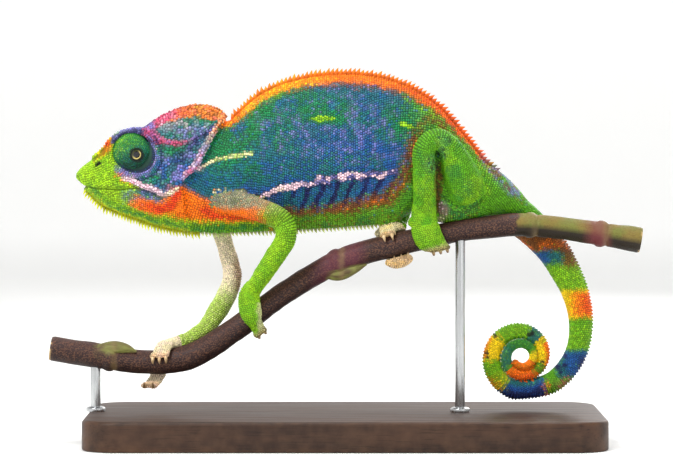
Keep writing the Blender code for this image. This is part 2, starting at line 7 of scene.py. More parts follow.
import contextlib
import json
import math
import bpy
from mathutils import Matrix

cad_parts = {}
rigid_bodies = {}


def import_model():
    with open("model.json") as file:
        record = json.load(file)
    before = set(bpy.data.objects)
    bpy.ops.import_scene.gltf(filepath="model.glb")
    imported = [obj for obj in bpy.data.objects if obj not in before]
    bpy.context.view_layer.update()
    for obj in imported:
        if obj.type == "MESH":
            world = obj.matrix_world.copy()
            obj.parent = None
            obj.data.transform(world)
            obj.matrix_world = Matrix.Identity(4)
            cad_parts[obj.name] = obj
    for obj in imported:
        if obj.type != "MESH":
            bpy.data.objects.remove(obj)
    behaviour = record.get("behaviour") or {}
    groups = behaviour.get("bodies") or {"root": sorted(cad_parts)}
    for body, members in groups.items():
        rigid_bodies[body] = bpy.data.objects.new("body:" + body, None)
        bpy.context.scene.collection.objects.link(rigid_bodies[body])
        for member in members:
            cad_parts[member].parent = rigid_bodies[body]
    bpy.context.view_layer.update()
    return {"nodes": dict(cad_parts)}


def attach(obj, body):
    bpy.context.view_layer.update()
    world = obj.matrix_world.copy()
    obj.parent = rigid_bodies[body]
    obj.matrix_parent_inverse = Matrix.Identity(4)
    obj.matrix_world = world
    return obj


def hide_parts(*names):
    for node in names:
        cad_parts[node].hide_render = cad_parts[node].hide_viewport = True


bl_info = {
    "name": "Chameleon on a perch",
    "version": (1, 0, 0),
    "blender": (4, 5, 0),
    "location": "3D View > Sidebar > Chameleon",
    "description": "Builds the skin, scales, eyes, claws, branch, stand and stage of a chameleon model",
    "category": "Object",
}

import bmesh
import bpy
import numpy as np
from mathutils import Vector
from mathutils.bvhtree import BVHTree
from mathutils.kdtree import KDTree

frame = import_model()

MM = 0.001
SIDE = np.array((0, 1, 0))  # towards the animal's right

# The trunk and pelvis: dorsal x, z, ventral x, z, middle y, half width, widest level, fullness.
TRUNK = (
    (-56, 126, -76, 87.5, 0, 10.2, 0.42, 1.7),
    (-46, 129, -62, 84.2, 0, 11, 0.44, 1.7),
    (-41.5, 133.4, -52, 83.4, 0, 11.8, 0.45, 1.65),
    (-34, 139.9, -40, 83.8, 0, 12.8, 0.46, 1.6),
    (-25, 144.3, -28, 84.2, 0, 13.8, 0.46, 1.6),
    (-12, 147.4, -13, 85, 0, 14.4, 0.46, 1.6),
    (2, 148.3, 2, 86, 0, 14.4, 0.46, 1.6),
    (15, 146.8, 14, 87, 0, 13.6, 0.46, 1.6),
    (26.5, 142.6, 22.5, 89.4, 0, 12.4, 0.46, 1.65),
    (36.5, 136.2, 29.5, 93.6, 0, 11.2, 0.46, 1.7),
    (43.9, 128.4, 36.4, 92.8, 0.2, 10.4, 0.47, 1.75),
    (50.4, 120.6, 42.2, 89.8, 0.6, 9.8, 0.48, 1.8),
    (56, 113.2, 47.2, 90.6, 1.4, 8.8, 0.49, 1.9),
    (61.1, 106.9, 51.4, 93.8, 2.8, 7.6, 0.5, 2),
)

# The head: x, top z, bottom z, half width, widest level, fullness above, fullness below.
HEAD = (
    (-107.3, 107.8, 105.2, 1.7, 0.5, 2, 2),
    (-105.4, 109.9, 103.4, 3.7, 0.46, 2.1, 2),
    (-102, 112.4, 99.4, 5.7, 0.45, 2.1, 2),
    (-98, 115.8, 95.4, 7.5, 0.46, 2.1, 2),
    (-94, 119.9, 93.2, 8.9, 0.48, 2.1, 1.9),
    (-90, 123.2, 91.5, 10, 0.5, 2.1, 1.8),
    (-86, 125, 90.1, 11, 0.51, 2.1, 1.8),
    (-82, 125.5, 88.7, 11.8, 0.5, 2, 1.8),
    (-78.6, 126, 87.5, 12.5, 0.48, 1.8, 1.8),
    (-75, 129, 86.4, 13, 0.46, 1.6, 1.8),
    (-70, 131.8, 85.3, 13.4, 0.44, 1.5, 1.8),
    (-64, 134.1, 84.3, 13.5, 0.44, 1.4, 1.8),
    (-58, 134.8, 83.6, 13, 0.46, 1.4, 1.8),
    (-52, 133.8, 83.5, 12, 0.5, 1.4, 1.8),
    (-48, 131.6, 83.5, 11, 0.52, 1.4, 1.8),
    (-46.5, 130.2, 83.5, 10.6, 0.52, 1.4, 1.8),
)

# The line of the mouth, and the rear edge of the head from the casque's tip to the throat: x, z.
MOUTH = ((-112, 107), (-104.4, 102.3), (-98, 101.5), (-90, 101), (-82.4, 101.8),
         (-77, 100.2), (-73.6, 98.5), (-69.5, 98.5))
HEAD_REAR = ((-46.6, 150), (-46.6, 131.4), (-52, 123), (-56, 115), (-58.4, 110.6),
             (-61.5, 107.8), (-64.4, 105), (-64.4, 98.5), (-61, 75))
NOSTRIL = ((-99, 110.7), (-97.6, 111.6))

# Ridges of the head: x, z, y, radius. Where y is 0 it is found on the head's side.
RIDGES = {
    "brow": ((-101, 112.6, 3.6, 0.9), (-97, 115.8, 4.8, 1.1), (-93, 119.4, 5.8, 1.4),
             (-89, 122, 6.6, 1.7), (-85, 123.4, 7.2, 1.8), (-81, 123.6, 7.8, 1.7),
             (-77.8, 122.9, 9, 1.5), (-75, 121.4, 10.6, 1)),
    "temple": ((-76, 121.6, 0, 1), (-70, 119.9, 0, 0.9), (-64, 119.9, 0, 0.8),
               (-58, 122.6, 0, 0.8), (-52, 127.4, 0, 0.8), (-48.6, 130, 0, 0.6)),
    "casque_edge": ((-48.2, 129.6, 0, 0.9), (-52.9, 122.8, 0, 1), (-57, 114.6, 0, 1),
                    (-59.5, 110.2, 0, 0.9), (-63, 107, 0, 0.7), (-66.5, 104.2, 0, 0.4)),
    "upper_lip": ((-105, 104.2, 0, 0.5), (-98, 102.9, 0, 0.7), (-90, 102.5, 0, 0.8),
                  (-82.4, 103.3, 0, 0.9), (-76.6, 101.4, 0, 1), (-73, 99.8, 0, 0.9),
                  (-69, 99.9, 0, 0.6), (-66.4, 101, 0, 0.3)),
    "lower_lip": ((-104.6, 101.2, 0, 0.4), (-98, 100.1, 0, 0.6), (-90, 99.5, 0, 0.7),
                  (-82.4, 100.3, 0, 0.7), (-77.2, 98.6, 0, 0.7), (-73, 97, 0, 0.5)),
}
CROWN = ((-80, 125.4, 0, 1), (-75, 128.5, 0, 1.1), (-70, 131.1, 0, 1.2),
         (-64, 133.3, 0, 1.2), (-58, 134, 0, 1.2), (-52, 133, 0, 1.1),
         (-48.2, 131, 0, 0.8))

# The tail down to the coil: x, z, y, radius.
TAIL = (
    (56.2, 100.4, 2.8, 7.8), (64.2, 92.6, 7.9, 6.9), (74, 85.6, 9, 6.4), (83.2, 76.8, 9.2, 6.3),
    (88.4, 68.4, 9, 5.9), (92.6, 59.4, 8.6, 5.3), (94.9, 48, 8.2, 4.8), (93.6, 36.6, 8, 4.4),
    (89, 28.2, 7.9, 4.3), (81.8, 22.4, 7.8, 4.2))
TAIL_WIDTH = 0.9
COIL_CENTRE = (71.1, 33.7)
COIL_START = 13.9
COIL_DECAY = 0.64
COIL_TURNS = 2.15
COIL_THICKNESS = 0.295
COIL_DRIFT = 2
TAIL_JOIN = 31  # along the tail, from where it is a sleeve of its own

# Limbs from the body to the foot: x, z, y, radius.
LIMBS = {
    "foreleg_left": (
        (-50, 98, -6, 5), (-42, 95.6, -11, 4.9), (-32, 92.6, -14.6, 4.6),
        (-24.6, 88.8, -16, 4.5), (-23.4, 82.4, -15.6, 4.3), (-28.2, 74.2, -12.8, 4.1),
        (-33.8, 65.6, -9, 3.7), (-38.6, 58.2, -4.8, 3.3)),
    "foreleg_right": (
        (-52, 97, 6, 4.6), (-50.4, 86, 10, 3.9), (-47.4, 75, 11.5, 3.6), (-45.4, 66, 11.8, 3.9),
        (-47.6, 58.4, 10.8, 4.1), (-51.6, 51.4, 8.8, 4.1), (-57, 44.2, 6.4, 3.3), (-64.5, 39.8, 4.6, 2.5)),
    "hindleg_left": (
        (49.5, 99.4, -4, 7.2), (46.6, 106, -9, 7.2), (43.8, 113, -12.8, 5.9),
        (41, 118.4, -15.2, 4.6), (35.8, 121.6, -16.8, 4.2), (31.2, 117.4, -17.2, 4.4),
        (31.4, 109, -15.6, 4.7), (31.6, 98, -11, 4.7), (32, 88.4, -4.6, 4.2)),
    "hindleg_right": (
        (48, 100.5, 4, 5.6), (43.4, 107.4, 10, 6), (37.6, 113.4, 14.6, 5.4), (31.6, 113.8, 16.6, 4.8),
        (27.6, 107.6, 16, 4.6), (24.4, 98, 12.8, 4.3), (21.4, 87.4, 8.6, 3.7)),
}

# The branch: x, z, y, radius. Then the swollen rings on it, and its bud scales from root to tip.
BRANCH = (
    (-118, 37.2, 2, 5), (-98, 34.2, 1.6, 5.1), (-82, 31.8, 1.2, 4.8), (-66, 32.8, 0.8, 5.1),
    (-55, 37.6, 0.4, 5), (-42, 46.4, 0, 4.7), (-26, 58.4, -0.4, 4.6), (-10, 68.4, -0.8, 4.7),
    (2, 74, -1.2, 4.9), (22, 79.4, -1.6, 4.8), (46, 84.4, -2.2, 4.3), (70, 87, -2.8, 4.7),
    (94, 84.6, -3.4, 4.5), (118, 80.8, -4, 5.2))
NODE_PLACES = (-94, -3, 74, 102)
NODE_SWELL = 0.6
NODE_REACH = 2.2
BUDS = (
    ((-98, 35.6, 0, 3.6), (-92.5, 37.6, -1, 2.9), (-87.5, 37.4, -1.6, 2), (-83.5, 36, -1.8, 0.6)),
    ((-8, 69, -1, 3.4), (-2.5, 67.8, -1.8, 3.3), (3.4, 69.6, -2.4, 2.4), (8.6, 71.4, -2.8, 0.6)))

# Eye turrets: each profile is (radius, distance along the axis).
TURRET_CENTRE = (-84.8, 116.2)
TURRET_AXIS = (0.33, 1, -0.15)
TURRET_MIDDLE = 7
TURRET = ((5.4, 3), (7.2, 5.4), (7.5, 7.6), (7.1, 10), (5.9, 12.2), (4.2, 13.8), (2.6, 14.5), (2.1, 14.1))
EYE_RADIUS = 3.4
EYE_FRONT = 14.95  # along the turret's axis

# Crests of pointed scales: distance between points, height, half width of the base. The skin dips
# under the crest of the back, so that its points end at the solids' own outline.
RIDGE_DIP = 1.1
DORSAL_CREST = (1.7, 2.4, 0.94)
GULAR_CREST = (1.25, 2.7, 0.62)
VENTRAL_CREST = (1.5, 1.7, 0.55)
TAIL_CREST = (1.35, 0.85, 0.55)

# Stand.
BASE_SIZE = (206, 92, 12)
BASE_CORNER = 14
BASE_STEP = 0.7
ROD_RADIUS = 2
ROD_PLACES = {"stand_rod_front": -100, "stand_rod_rear": 46}
ROD_IN_BASE = 7
ROD_IN_BRANCH = 1.2

# Feet: x on the branch and the palm's angle, then two bundles of toes: the number of toes, the end's
# angle from the branch's top towards -Y, the place of its palm and end, the width of a toe, the
# thickness at the palm and the end, and how far the end stands off the branch.
FOOT_GAP = 0.45
FEET = {
    "forefoot_left": ((-37, 12), (
        (2, 152, (2, -1.2), 3.4, (4.4, 3), 1.8), (3, -116, (2.6, 1), 2.6, (4.2, 2.8), 0))),
    "forefoot_right": ((-72.5, -24), (
        (3, 72, (3, -1.5), 3, (3.8, 2.8), 0), (2, -196, (3, -6), 3.6, (3.8, 2.8), 2.8))),
    "hindfoot_left": ((32, 12), (
        (3, 136, (-0.5, 4.8), 3.2, (4.8, 3), 1.8), (2, -120, (1.8, 0), 3.8, (4.2, 2.8), 0))),
    "hindfoot_right": ((20, -34), (
        (2, 50, (0, -2), 3.6, (3.4, 2.8), 0), (3, -214, (-2, 1.4), 3.2, (3.8, 3.2), 0))),
}
CLAW = ((-8, 0.5, 0.95), (7, 0.62, 0.78), (19, 0.46, 0.22))

# Soft forms that fill out the flesh between the solids: part, width as a part of height, and the path.
FILLS = (
    ("trunk", 1, ((50, 104, 0.4, 9), (57, 101.4, 1.6, 8.6), (64, 97.2, 4.2, 7), (70, 92.6, 6.4, 5.4),
                    (74.6, 89.2, 7.8, 4.8), (79, 85.8, 8.8, 4))),
    ("trunk", 1, ((36.6, 94.6, 1.8, 6.5), (41.4, 94.5, 0.4, 7.2), (48, 94.5, 0.6, 6.1), (54, 95.2, 1.6, 5.7),
                    (61, 95.2, 4.2, 4.9))),
    ("foreleg_right", 0.9,
     ((-57, 44.4, 6.2, 3.2), (-63.5, 40.6, 4.6, 3.1), (-69, 39, 2.6, 2.8), (-73, 38.6, 0.6, 2.2))),
    ("forefoot_left", 0.55,
     ((-36.2, 63.6, -6.4, 3.3), (-38, 59.4, -6.4, 4.5), (-38, 54.8, -7.2, 4.8), (-37, 50.6, -7.6, 4.3),
      (-35.8, 47.6, -7, 2.9))),
    ("hindfoot_left", 0.5,
     ((31.2, 96, -9.4, 4.6), (31.2, 91.4, -8.8, 5.2), (31.6, 87, -8.8, 5.8), (32.8, 82.6, -9, 6),
      (34, 79.4, -8.4, 4.9), (35, 77.6, -7.4, 2.8))),
    ("hindfoot_right", 1, ((13.8, 84.2, 0.6, 2), (17, 85.2, 0.8, 3.2), (21, 86, 1.2, 3.3), (24.4, 85.4, 1.8, 2.2))),
    ("hindfoot_right", 1,
     ((16.2, 72.6, -2.4, 1.7), (19.6, 71.7, -2.8, 2.5), (23.6, 72.5, -2.8, 2.5), (26.6, 74, -2.6, 1.7))),
)
PARTS = ("trunk", "head", "tail", "foreleg_left", "foreleg_right", "hindleg_left", "hindleg_right",
         "forefoot_left", "forefoot_right", "hindfoot_left", "hindfoot_right", "turret")


def shade(red, green, blue):
    """A colour given in the usual 0 to 255, as Blender's linear values."""
    return tuple(
        value / 12.92 if value <= 0.04045 else ((value + 0.055) / 1.055) ** 2.4
        for value in (red / 255, green / 255, blue / 255)
    )


PIGMENTS = {
    "leaf": ("Leaf green", "Legs, hips and lower tail", shade(90, 162, 12)),
    "lime": ("Lime", "Snout, chin and forearms", shade(156, 202, 18)),
    "emerald": ("Emerald", "Eye turrets, casque and front flank", shade(10, 122, 56)),
    "teal": ("Teal", "Ground colour of the flank", shade(18, 100, 112)),
    "blue": ("Blue", "Rear flank and bands of the tail", shade(26, 82, 158)),
    "violet": ("Violet", "Haze over the flank and temple", shade(122, 118, 186)),
    "navy": ("Navy", "Folds below the side stripe, brow and tail spots", shade(20, 26, 84)),
    "orange": ("Orange", "Band along the back, throat and tail", shade(255, 120, 0)),
    "red": ("Red", "Corner of the mouth and rear of the back", shade(232, 58, 12)),
    "yellow": ("Yellow", "Chin spines and tail", shade(250, 212, 6)),
    "pink": ("Pale pink", "Stripes of the side and the lip", shade(244, 206, 220)),
    "magenta": ("Magenta", "Crests of the head", shade(206, 62, 104)),
    "brown": ("Brown", "Edge of the flank above the belly", shade(128, 68, 22)),
    "cream": ("Cream", "Far foreleg, toes and the neck's stripe", shade(234, 220, 176)),
    "ink": ("Ink", "Nostrils and small dark marks", shade(16, 20, 14)),
}


# --- Settings ---


SIZES = {
    "voxel": ("Skin mesh", "Size of the skin's faces", 0.71, 0.4, 2),
    "coat_depth": ("Coat depth", "How far the skin lies inside the solids", 0.32, 0, 1),
    "flank_scale": ("Flank scale", "Distance between scales of the flank", 1.04, 0.5, 3),
    "head_scale": ("Head plate", "Distance between plates of the casque", 1.2, 0.5, 4),
    "face_scale": ("Face scale", "Distance between scales of the snout and jaw", 0.95, 0.4, 3),
    "limb_scale": ("Limb scale", "Distance between scales of the legs", 0.92, 0.4, 3),
    "foot_scale": ("Foot scale", "Distance between scales of the feet", 0.78, 0.4, 3),
    "tail_scale": ("Tail scale", "Distance between scales at the tail's root", 0.98, 0.4, 3),
    "bark_step": ("Bark mesh", "Size of the branch's faces", 0.9, 0.4, 5),
    "base_edge": ("Base edge", "Width of the base's rounded edge", 1.6, 0.2, 4),
}


def size_property(name, description, default, low, high):
    return bpy.props.FloatProperty(
        name=name, description=description + ", in millimetres", default=default, min=low, max=high)


class ChameleonSizes(bpy.types.PropertyGroup):
    """Sizes of the skin and of the scales on it."""

    __annotations__ = {key: size_property(*value) for key, value in SIZES.items()}


def colour_property(name, description, default):
    return bpy.props.FloatVectorProperty(
        name=name, description=description, default=default, subtype="COLOR", size=3, min=0, max=1)


FINISHES = {
    "bark": ("Bark", "Dark bark of the front of the branch", shade(42, 24, 23)),
    "bark_fleck": ("Bark flecks", "Small pale marks in the bark", shade(124, 84, 62)),
    "green_wood": ("Green wood", "Young rear end of the branch", shade(108, 112, 44)),
    "bud_scale": ("Bud scale", "Leaf bases on the branch", shade(126, 128, 66)),
    "pith": ("Cut wood", "Sawn ends of the branch", shade(206, 178, 128)),
    "iris": ("Iris", "Ring round the pupil", shade(236, 214, 130)),
    "horn": ("Claw", "Claws", shade(196, 160, 112)),
    "stained_wood": ("Base", "Stained wood of the base", shade(74, 50, 36)),
    "steel": ("Rods", "Brushed steel of the rods", (0.56, 0.57, 0.58)),
    "studio": ("Stage", "Floor and backdrop", (0.86, 0.86, 0.85)),
}


class ChameleonColours(bpy.types.PropertyGroup):
    """Pigments of the animal and finishes of the branch and the stand."""

    __annotations__ = {key: colour_property(*value) for key, value in {**PIGMENTS, **FINISHES}.items()}


# --- Curves and cross-sections ---


def run_of(points):
    """How far each point is along a line of points."""
    return np.concatenate([[0], np.cumsum(np.linalg.norm(np.diff(points, axis=0), axis=1))])


def at_places(places, marks, points):
    """Points at these places along a line whose points lie at these marks."""
    return np.column_stack([np.interp(places, marks, points[:, axis]) for axis in range(3)])


def smooth(stations, spacing):
    """Rows on a smooth curve through the stations, this far apart in their first two numbers."""
    marks = run_of(np.array([row[:2] for row in stations], float))
    rows = []
    for k in range(len(stations) - 1):
        steps = max(1, round((marks[k + 1] - marks[k]) / spacing))
        rows += [on_curve(stations, marks, k, step / steps) for step in range(steps)]
    rows.append(stations[-1])
    return np.array(rows)


def on_curve(stations, marks, k, part):
    """One row: a cubic between stations k and k + 1, with slopes from the stations on each side."""
    last = len(stations) - 1
    rows = np.array(stations, float)
    slopes = [(rows[min(at + 1, last)] - rows[max(at - 1, 0)]) / (marks[min(at + 1, last)] - marks[max(at - 1, 0)])
              for at in (k, k + 1)]
    square, cube, span = part ** 2, part ** 3, marks[k + 1] - marks[k]
    return ((2 * cube - 3 * square + 1) * rows[k] + (cube - 2 * square + part) * span * slopes[0]
            + (3 * square - 2 * cube) * rows[k + 1] + (cube - square) * span * slopes[1])


def round_turns(corners):
    """The turns of the corners of a ring."""
    return np.linspace(0, 2 * math.pi, corners, endpoint=False)


def powered(value, power):
    return np.sign(value) * np.abs(value) ** power


def section(high, low, half_width, level, above, below, corners):
    """A cross-section between its high and low points, widest at the level between them."""
    turn = round_turns(corners)
    up = np.cos(turn)
    power = 2 / np.where(up >= 0, above, below)
    middle = low + (high - low) * level
    reach = np.where((up >= 0)[:, None], high - middle, middle - low)
    across = half_width * powered(np.sin(turn), power)
    return middle + reach * powered(up, power)[:, None] + SIDE * across[:, None]


def trunk_rings(spacing, corners, grow=0, dip=0):
    rings = []
    for dorsal_x, dorsal_z, ventral_x, ventral_z, y, width, level, full in smooth(TRUNK, spacing):
        high, low = np.array((dorsal_x, y, dorsal_z)), np.array((ventral_x, y, ventral_z))
        reach = unit(high - low) * grow
        top = high + reach - unit(high - low) * dip * band(dorsal_x, -45, 57, 4)
        rings.append(section(top, low - reach, width + grow, level, full, full, corners))
    return np.array(rings)


def head_rings(spacing, corners, grow=0):
    rings = []
    for x, top, bottom, width, level, above, below in smooth(HEAD, spacing):
        high = np.array((x, 0, top + grow))
        low = np.array((x, 0, bottom - grow))
        rings.append(section(high, low, max(width + grow, 0.3), level, above, below, corners))
    return np.array(rings)


def head_side(x, z, grow=0):
    """Half width of the head at one x and z."""
    marks = [row[0] for row in HEAD]
    k = min(max(sum(mark <= x for mark in marks) - 1, 0), len(marks) - 2)
    row = on_curve(HEAD, marks, k, (x - marks[k]) / (marks[k + 1] - marks[k]))
    _, top, bottom, width, level, above, below = row
    middle = bottom + (top - bottom) * level
    full, reach = (above, top - middle) if z >= middle else (below, middle - bottom)
    height = min(abs(z - middle) / reach, 1)
    return (width + grow) * max(1 - height ** full, 0) ** (1 / full)


def unit(vectors):
    return vectors / np.maximum(np.linalg.norm(vectors, axis=-1, keepdims=True), 1e-9)


def round_ring(centre, ahead, radius, corners, flat=1):
    """A round cross-section facing ahead. Flat is its width as a part of its height."""
    aside = SIDE if abs(ahead[1]) < 0.8 else np.array((1, 0, 0))
    across = unit(aside - ahead * aside.dot(ahead))
    out = np.cross(across, ahead)
    turn = round_turns(corners)[:, None]
    return centre + out * radius * np.cos(turn) + across * radius * flat * np.sin(turn)


def tube_rings(rows, corners, flat=1, grow=0):
    """Round cross-sections across a path of x, z, y, radius."""
    rows = np.array(rows)
    centres = rows[:, (0, 2, 1)]
    ahead = unit(np.gradient(centres, axis=0))
    return np.array([
        round_ring(centre, way, max(row[3] + grow, 0.15), corners, flat)
        for centre, way, row in zip(centres, ahead, rows)
    ])


def tail_rows(spacing):
    """The tail from root to tip. The last number is the turn of the coil, below 0 before it."""
    stations, before = [], 0.13
    for k in reversed(range(len(TAIL))):
        stations.insert(0, (*TAIL[k], -before))
        before += math.dist(TAIL[k][:2], TAIL[k - 1][:2]) / (2 * math.pi * COIL_START)
    for turns in np.linspace(0.03, COIL_TURNS, 60):
        radius = COIL_START * math.exp(-COIL_DECAY * turns)
        angle = math.radians(-90) - 2 * math.pi * turns
        stations.append((
            COIL_CENTRE[0] + radius * math.cos(angle), COIL_CENTRE[1] + radius * math.sin(angle),
            TAIL[-1][2] - COIL_DRIFT * turns,
            radius * COIL_THICKNESS + 0.16 * float(ramp(turns, 0, 0.3)) + 0.3 * float(ramp(turns, 0.75, 1.1)), turns))
    return smooth(stations, spacing)


def branch_at(x):
    """The branch's centre, direction and radius at one x."""
    marks = [row[0] for row in BRANCH]
    k = max(i for i, mark in enumerate(marks[:-1]) if mark <= x or i == 0)
    here = on_curve(BRANCH, marks, k, (x - marks[k]) / (marks[k + 1] - marks[k]))
    near = on_curve(BRANCH, marks, k, (x + 0.1 - marks[k]) / (marks[k + 1] - marks[k]))
    centre = np.array((here[0], here[2], here[1]))
    return centre, unit(np.array((near[0], near[2], near[1])) - centre), here[3]


def branch_point(place, along, angle, height):
    """A point over the bark: along it, round it from the top towards -Y, and above it."""
    _, ahead, _ = branch_at(place)
    centre, ahead, radius = branch_at(place + along * ahead[0])
    out = -np.cross(SIDE, ahead)
    turn = math.radians(angle)
    return centre + (out * math.cos(turn) - SIDE * math.sin(turn)) * (radius + height)


def toe_section(toes, part):
    """A bundle's section as (across -1..1, height 0..1): flat below, one hump to a toe."""
    valley = 0.93 - 0.33 * part
    points = [(-0.8, 0)]
    for k in range(2 * toes + 1):
        across = k / toes - 1
        points.append((across, 0.45 if k in (0, 2 * toes) else 1 if k % 2 else valley))
    points.append((0.8, 0))
    for _ in range(2):
        points = [
            tuple(a * (1 - s) + b * s for a, b in zip(here, there))
            for here, there in zip(points, points[1:] + points[:1])
            for s in (0.25, 0.75)
        ]
    return points


def toe_rings(foot, bundle, grow=0):
    """Cross-sections of fused toes bent round the branch, from under the palm to their ends."""
    place, palm = foot
    toes, end, lean, toe_width, thickness, flare = bundle
    way = math.copysign(1, end - palm)
    steps = round(abs(end - palm) / 4)
    rings = []
    for j in range(-3, steps + 1):
        part = max(j / steps, 0)
        angle = palm + (end - palm) * j / steps
        shift = lean[0] + (lean[1] - lean[0]) * part
        half = toes * toe_width / 2 * (1.15 - 0.25 * part) + grow
        depth = thickness[0] + (thickness[1] - thickness[0]) * part
        lift = FOOT_GAP + flare * max(0, part - 0.5) * 2 - grow
        end_angle = end - way * 3
        if way * (angle - end_angle) > 0:
            angle = end_angle
        rings.append([
            branch_point(place, shift + across * half, angle, lift + (depth + 2 * grow) * height)
            for across, height in toe_section(toes, part)
        ])
    return np.array(rings)


def turret_frame(way):
    """The middle and the axis of one eye turret."""
    axis = unit(np.array((TURRET_AXIS[0], way * TURRET_AXIS[1], TURRET_AXIS[2])))
    return np.array((TURRET_CENTRE[0], way * TURRET_MIDDLE, TURRET_CENTRE[1])), axis


def lathe_rings(profile, way, corners, grow=0):
    middle, axis = turret_frame(way)
    return np.array([
        round_ring(middle + axis * (along - TURRET_MIDDLE), axis, radius + grow, corners)
        for radius, along in profile
    ])


# --- Soft random values and distances ---


def cloud(points, size, seed=0):
    """Soft random values from 0 to 1, which change over about this many millimetres."""
    grid = np.asarray(points) / size + seed * 17.31
    low = np.floor(grid)
    part = grid - low
    part = part * part * (3 - 2 * part)
    total = np.zeros(len(grid))
    for corner in ((i, j, k) for i in (0, 1) for j in (0, 1) for k in (0, 1)):
        key = np.sin((low + corner) @ np.array((127.1, 311.7, 74.7))) * 43758.5453
        weight = np.prod(np.where(corner, part, 1 - part), axis=1)
        total += weight * (key - np.floor(key))
    return total


def ramp(value, start, end):
    """0 before start and 1 after end, with a soft step between them."""
    part = np.clip((value - start) / (end - start), 0, 1)
    return part * part * (3 - 2 * part)


def fade(value, start, end):
    """1 before start and 0 after end."""
    return 1 - ramp(value, start, end)


def wave(value, length):
    return np.sin(2 * math.pi * value / length)


def level(x, line):
    """The height of a line of x, z over these places."""
    line = sorted(line)
    return np.interp(x, [row[0] for row in line], [row[1] for row in line])


def band(value, start, end, soft):
    """1 between start and end, soft at both."""
    return ramp(value, start - soft, start + soft) * fade(value, end - soft, end + soft)


def tree_of(points):
    tree = KDTree(len(points))
    for k, point in enumerate(points):
        tree.insert(point, k)
    tree.balance()
    return tree


def to_line(x, z, line):
    """Distance to a line of x, z, and the place of its nearest point as a part of its length."""
    line = np.array(line, float)
    marks = run_of(line)
    nearest = np.full(len(x), 1e9)
    place = np.zeros(len(x))
    for k, length in enumerate(np.diff(marks)):
        way = (line[k + 1] - line[k]) / length
        run = np.clip((x - line[k][0]) * way[0] + (z - line[k][1]) * way[1], 0, length)
        far = np.hypot(x - line[k][0] - way[0] * run, z - line[k][1] - way[1] * run)
        closer = far < nearest
        nearest = np.where(closer, far, nearest)
        place = np.where(closer, (marks[k] + run) / marks[-1], place)
    return nearest, place


# --- Making meshes ---


def deselect():
    if bpy.context.mode != "OBJECT":
        bpy.ops.object.mode_set(mode="OBJECT")
    bpy.ops.object.select_all(action="DESELECT")


def activate(*things):
    """Selects only these, and makes the first one active."""
    deselect()
    for thing in things:
        thing.select_set(True)
    bpy.context.view_layer.objects.active = things[0]


def points_of(thing):
    flat = np.empty(len(thing.data.vertices) * 3, np.float32)
    thing.data.vertices.foreach_get("co", flat)
    return flat.reshape(-1, 3).astype(float) / MM


def set_points(thing, points):
    thing.data.vertices.foreach_set("co", (np.asarray(points) * MM).astype(np.float32).ravel())
    thing.data.update()


@contextlib.contextmanager
def editing(thing, kind="VERT"):
    """Edit mode on one object, with nothing selected."""
    activate(thing)
    bpy.ops.object.mode_set(mode="EDIT")
    bpy.ops.mesh.select_mode(type=kind)
    bpy.ops.mesh.select_all(action="DESELECT")
    yield
    bpy.ops.object.mode_set(mode="OBJECT")


def pick(thing, kind, test):
    """In edit mode, selects the edges or faces that pass a test."""
    mesh = bmesh.from_edit_mesh(thing.data)
    for item in getattr(mesh, kind):
        item.select = test(item)
    bmesh.update_edit_mesh(thing.data)


def sleeve(name, rings, open_start=False):
    """A closed sleeve: a grid is added, laid on the rings, and sewn up at its seam and ends."""
    rows, corners = rings.shape[:2]
    deselect()
    bpy.ops.mesh.primitive_grid_add(x_subdivisions=corners, y_subdivisions=rows - 1, size=1)
    thing = bpy.context.object
    thing.name = thing.data.name = name
    set_points(thing, np.concatenate([rings, rings[:, :1]], axis=1).reshape(-1, 3))
    with editing(thing):
        bpy.ops.mesh.select_all(action="SELECT")
        bpy.ops.mesh.remove_doubles(threshold=1e-7)
        bpy.ops.mesh.select_all(action="DESELECT")
        bpy.ops.mesh.select_non_manifold()
        bpy.ops.mesh.fill_holes(sides=0)
        bpy.ops.mesh.select_all(action="SELECT")
        bpy.ops.mesh.normals_make_consistent(inside=False)
        if open_start:
            start = Vector(rings[0].mean(0) * MM)
            mesh = bmesh.from_edit_mesh(thing.data)
            cap = min(mesh.faces, key=lambda face: (face.calc_center_median() - start).length - len(face.verts))
            bmesh.ops.delete(mesh, geom=[cap], context="FACES_ONLY")
            bmesh.update_edit_mesh(thing.data)
    return thing


def apply(thing, kind, **settings):
    """Adds a modifier with these settings and applies it."""
    activate(thing)
    step = thing.modifiers.new(kind.title(), kind)
    for key, value in settings.items():
        setattr(step, key, value)
    bpy.ops.object.modifier_apply(modifier=step.name)
    return thing


def join(name, things):
    activate(*things)
    if len(things) > 1:
        bpy.ops.object.join()
    thing = bpy.context.object
    thing.name = thing.data.name = name
    return thing


def smooth_faces(thing, angle=None):
    activate(thing)
    if angle is None:
        bpy.ops.object.shade_smooth()
    else:
        bpy.ops.object.shade_smooth_by_angle(angle=math.radians(angle))
    return thing


def mesh_of(name, points, corners, sizes):
    """A mesh from points, every face's corners in one run, and the faces' sizes."""
    data = bpy.data.meshes.new(name)
    data.vertices.add(len(points))
    data.vertices.foreach_set("co", (points * MM).astype(np.float32).ravel())
    data.loops.add(len(corners))
    data.loops.foreach_set("vertex_index", corners.astype(np.int32))
    data.polygons.add(len(sizes))
    data.polygons.foreach_set("loop_start", np.concatenate([[0], np.cumsum(sizes)[:-1]]).astype(np.int32))
    data.polygons.foreach_set("use_smooth", np.ones(len(sizes), bool))
    data.update(calc_edges=True)
    data.validate()
    thing = bpy.data.objects.new(name, data)
    bpy.context.scene.collection.objects.link(thing)
    return thing


def set_attribute(thing, name, values):
    made = thing.data.attributes.new(name, "FLOAT", "POINT")
    made.data.foreach_set("value", np.asarray(values, np.float32))


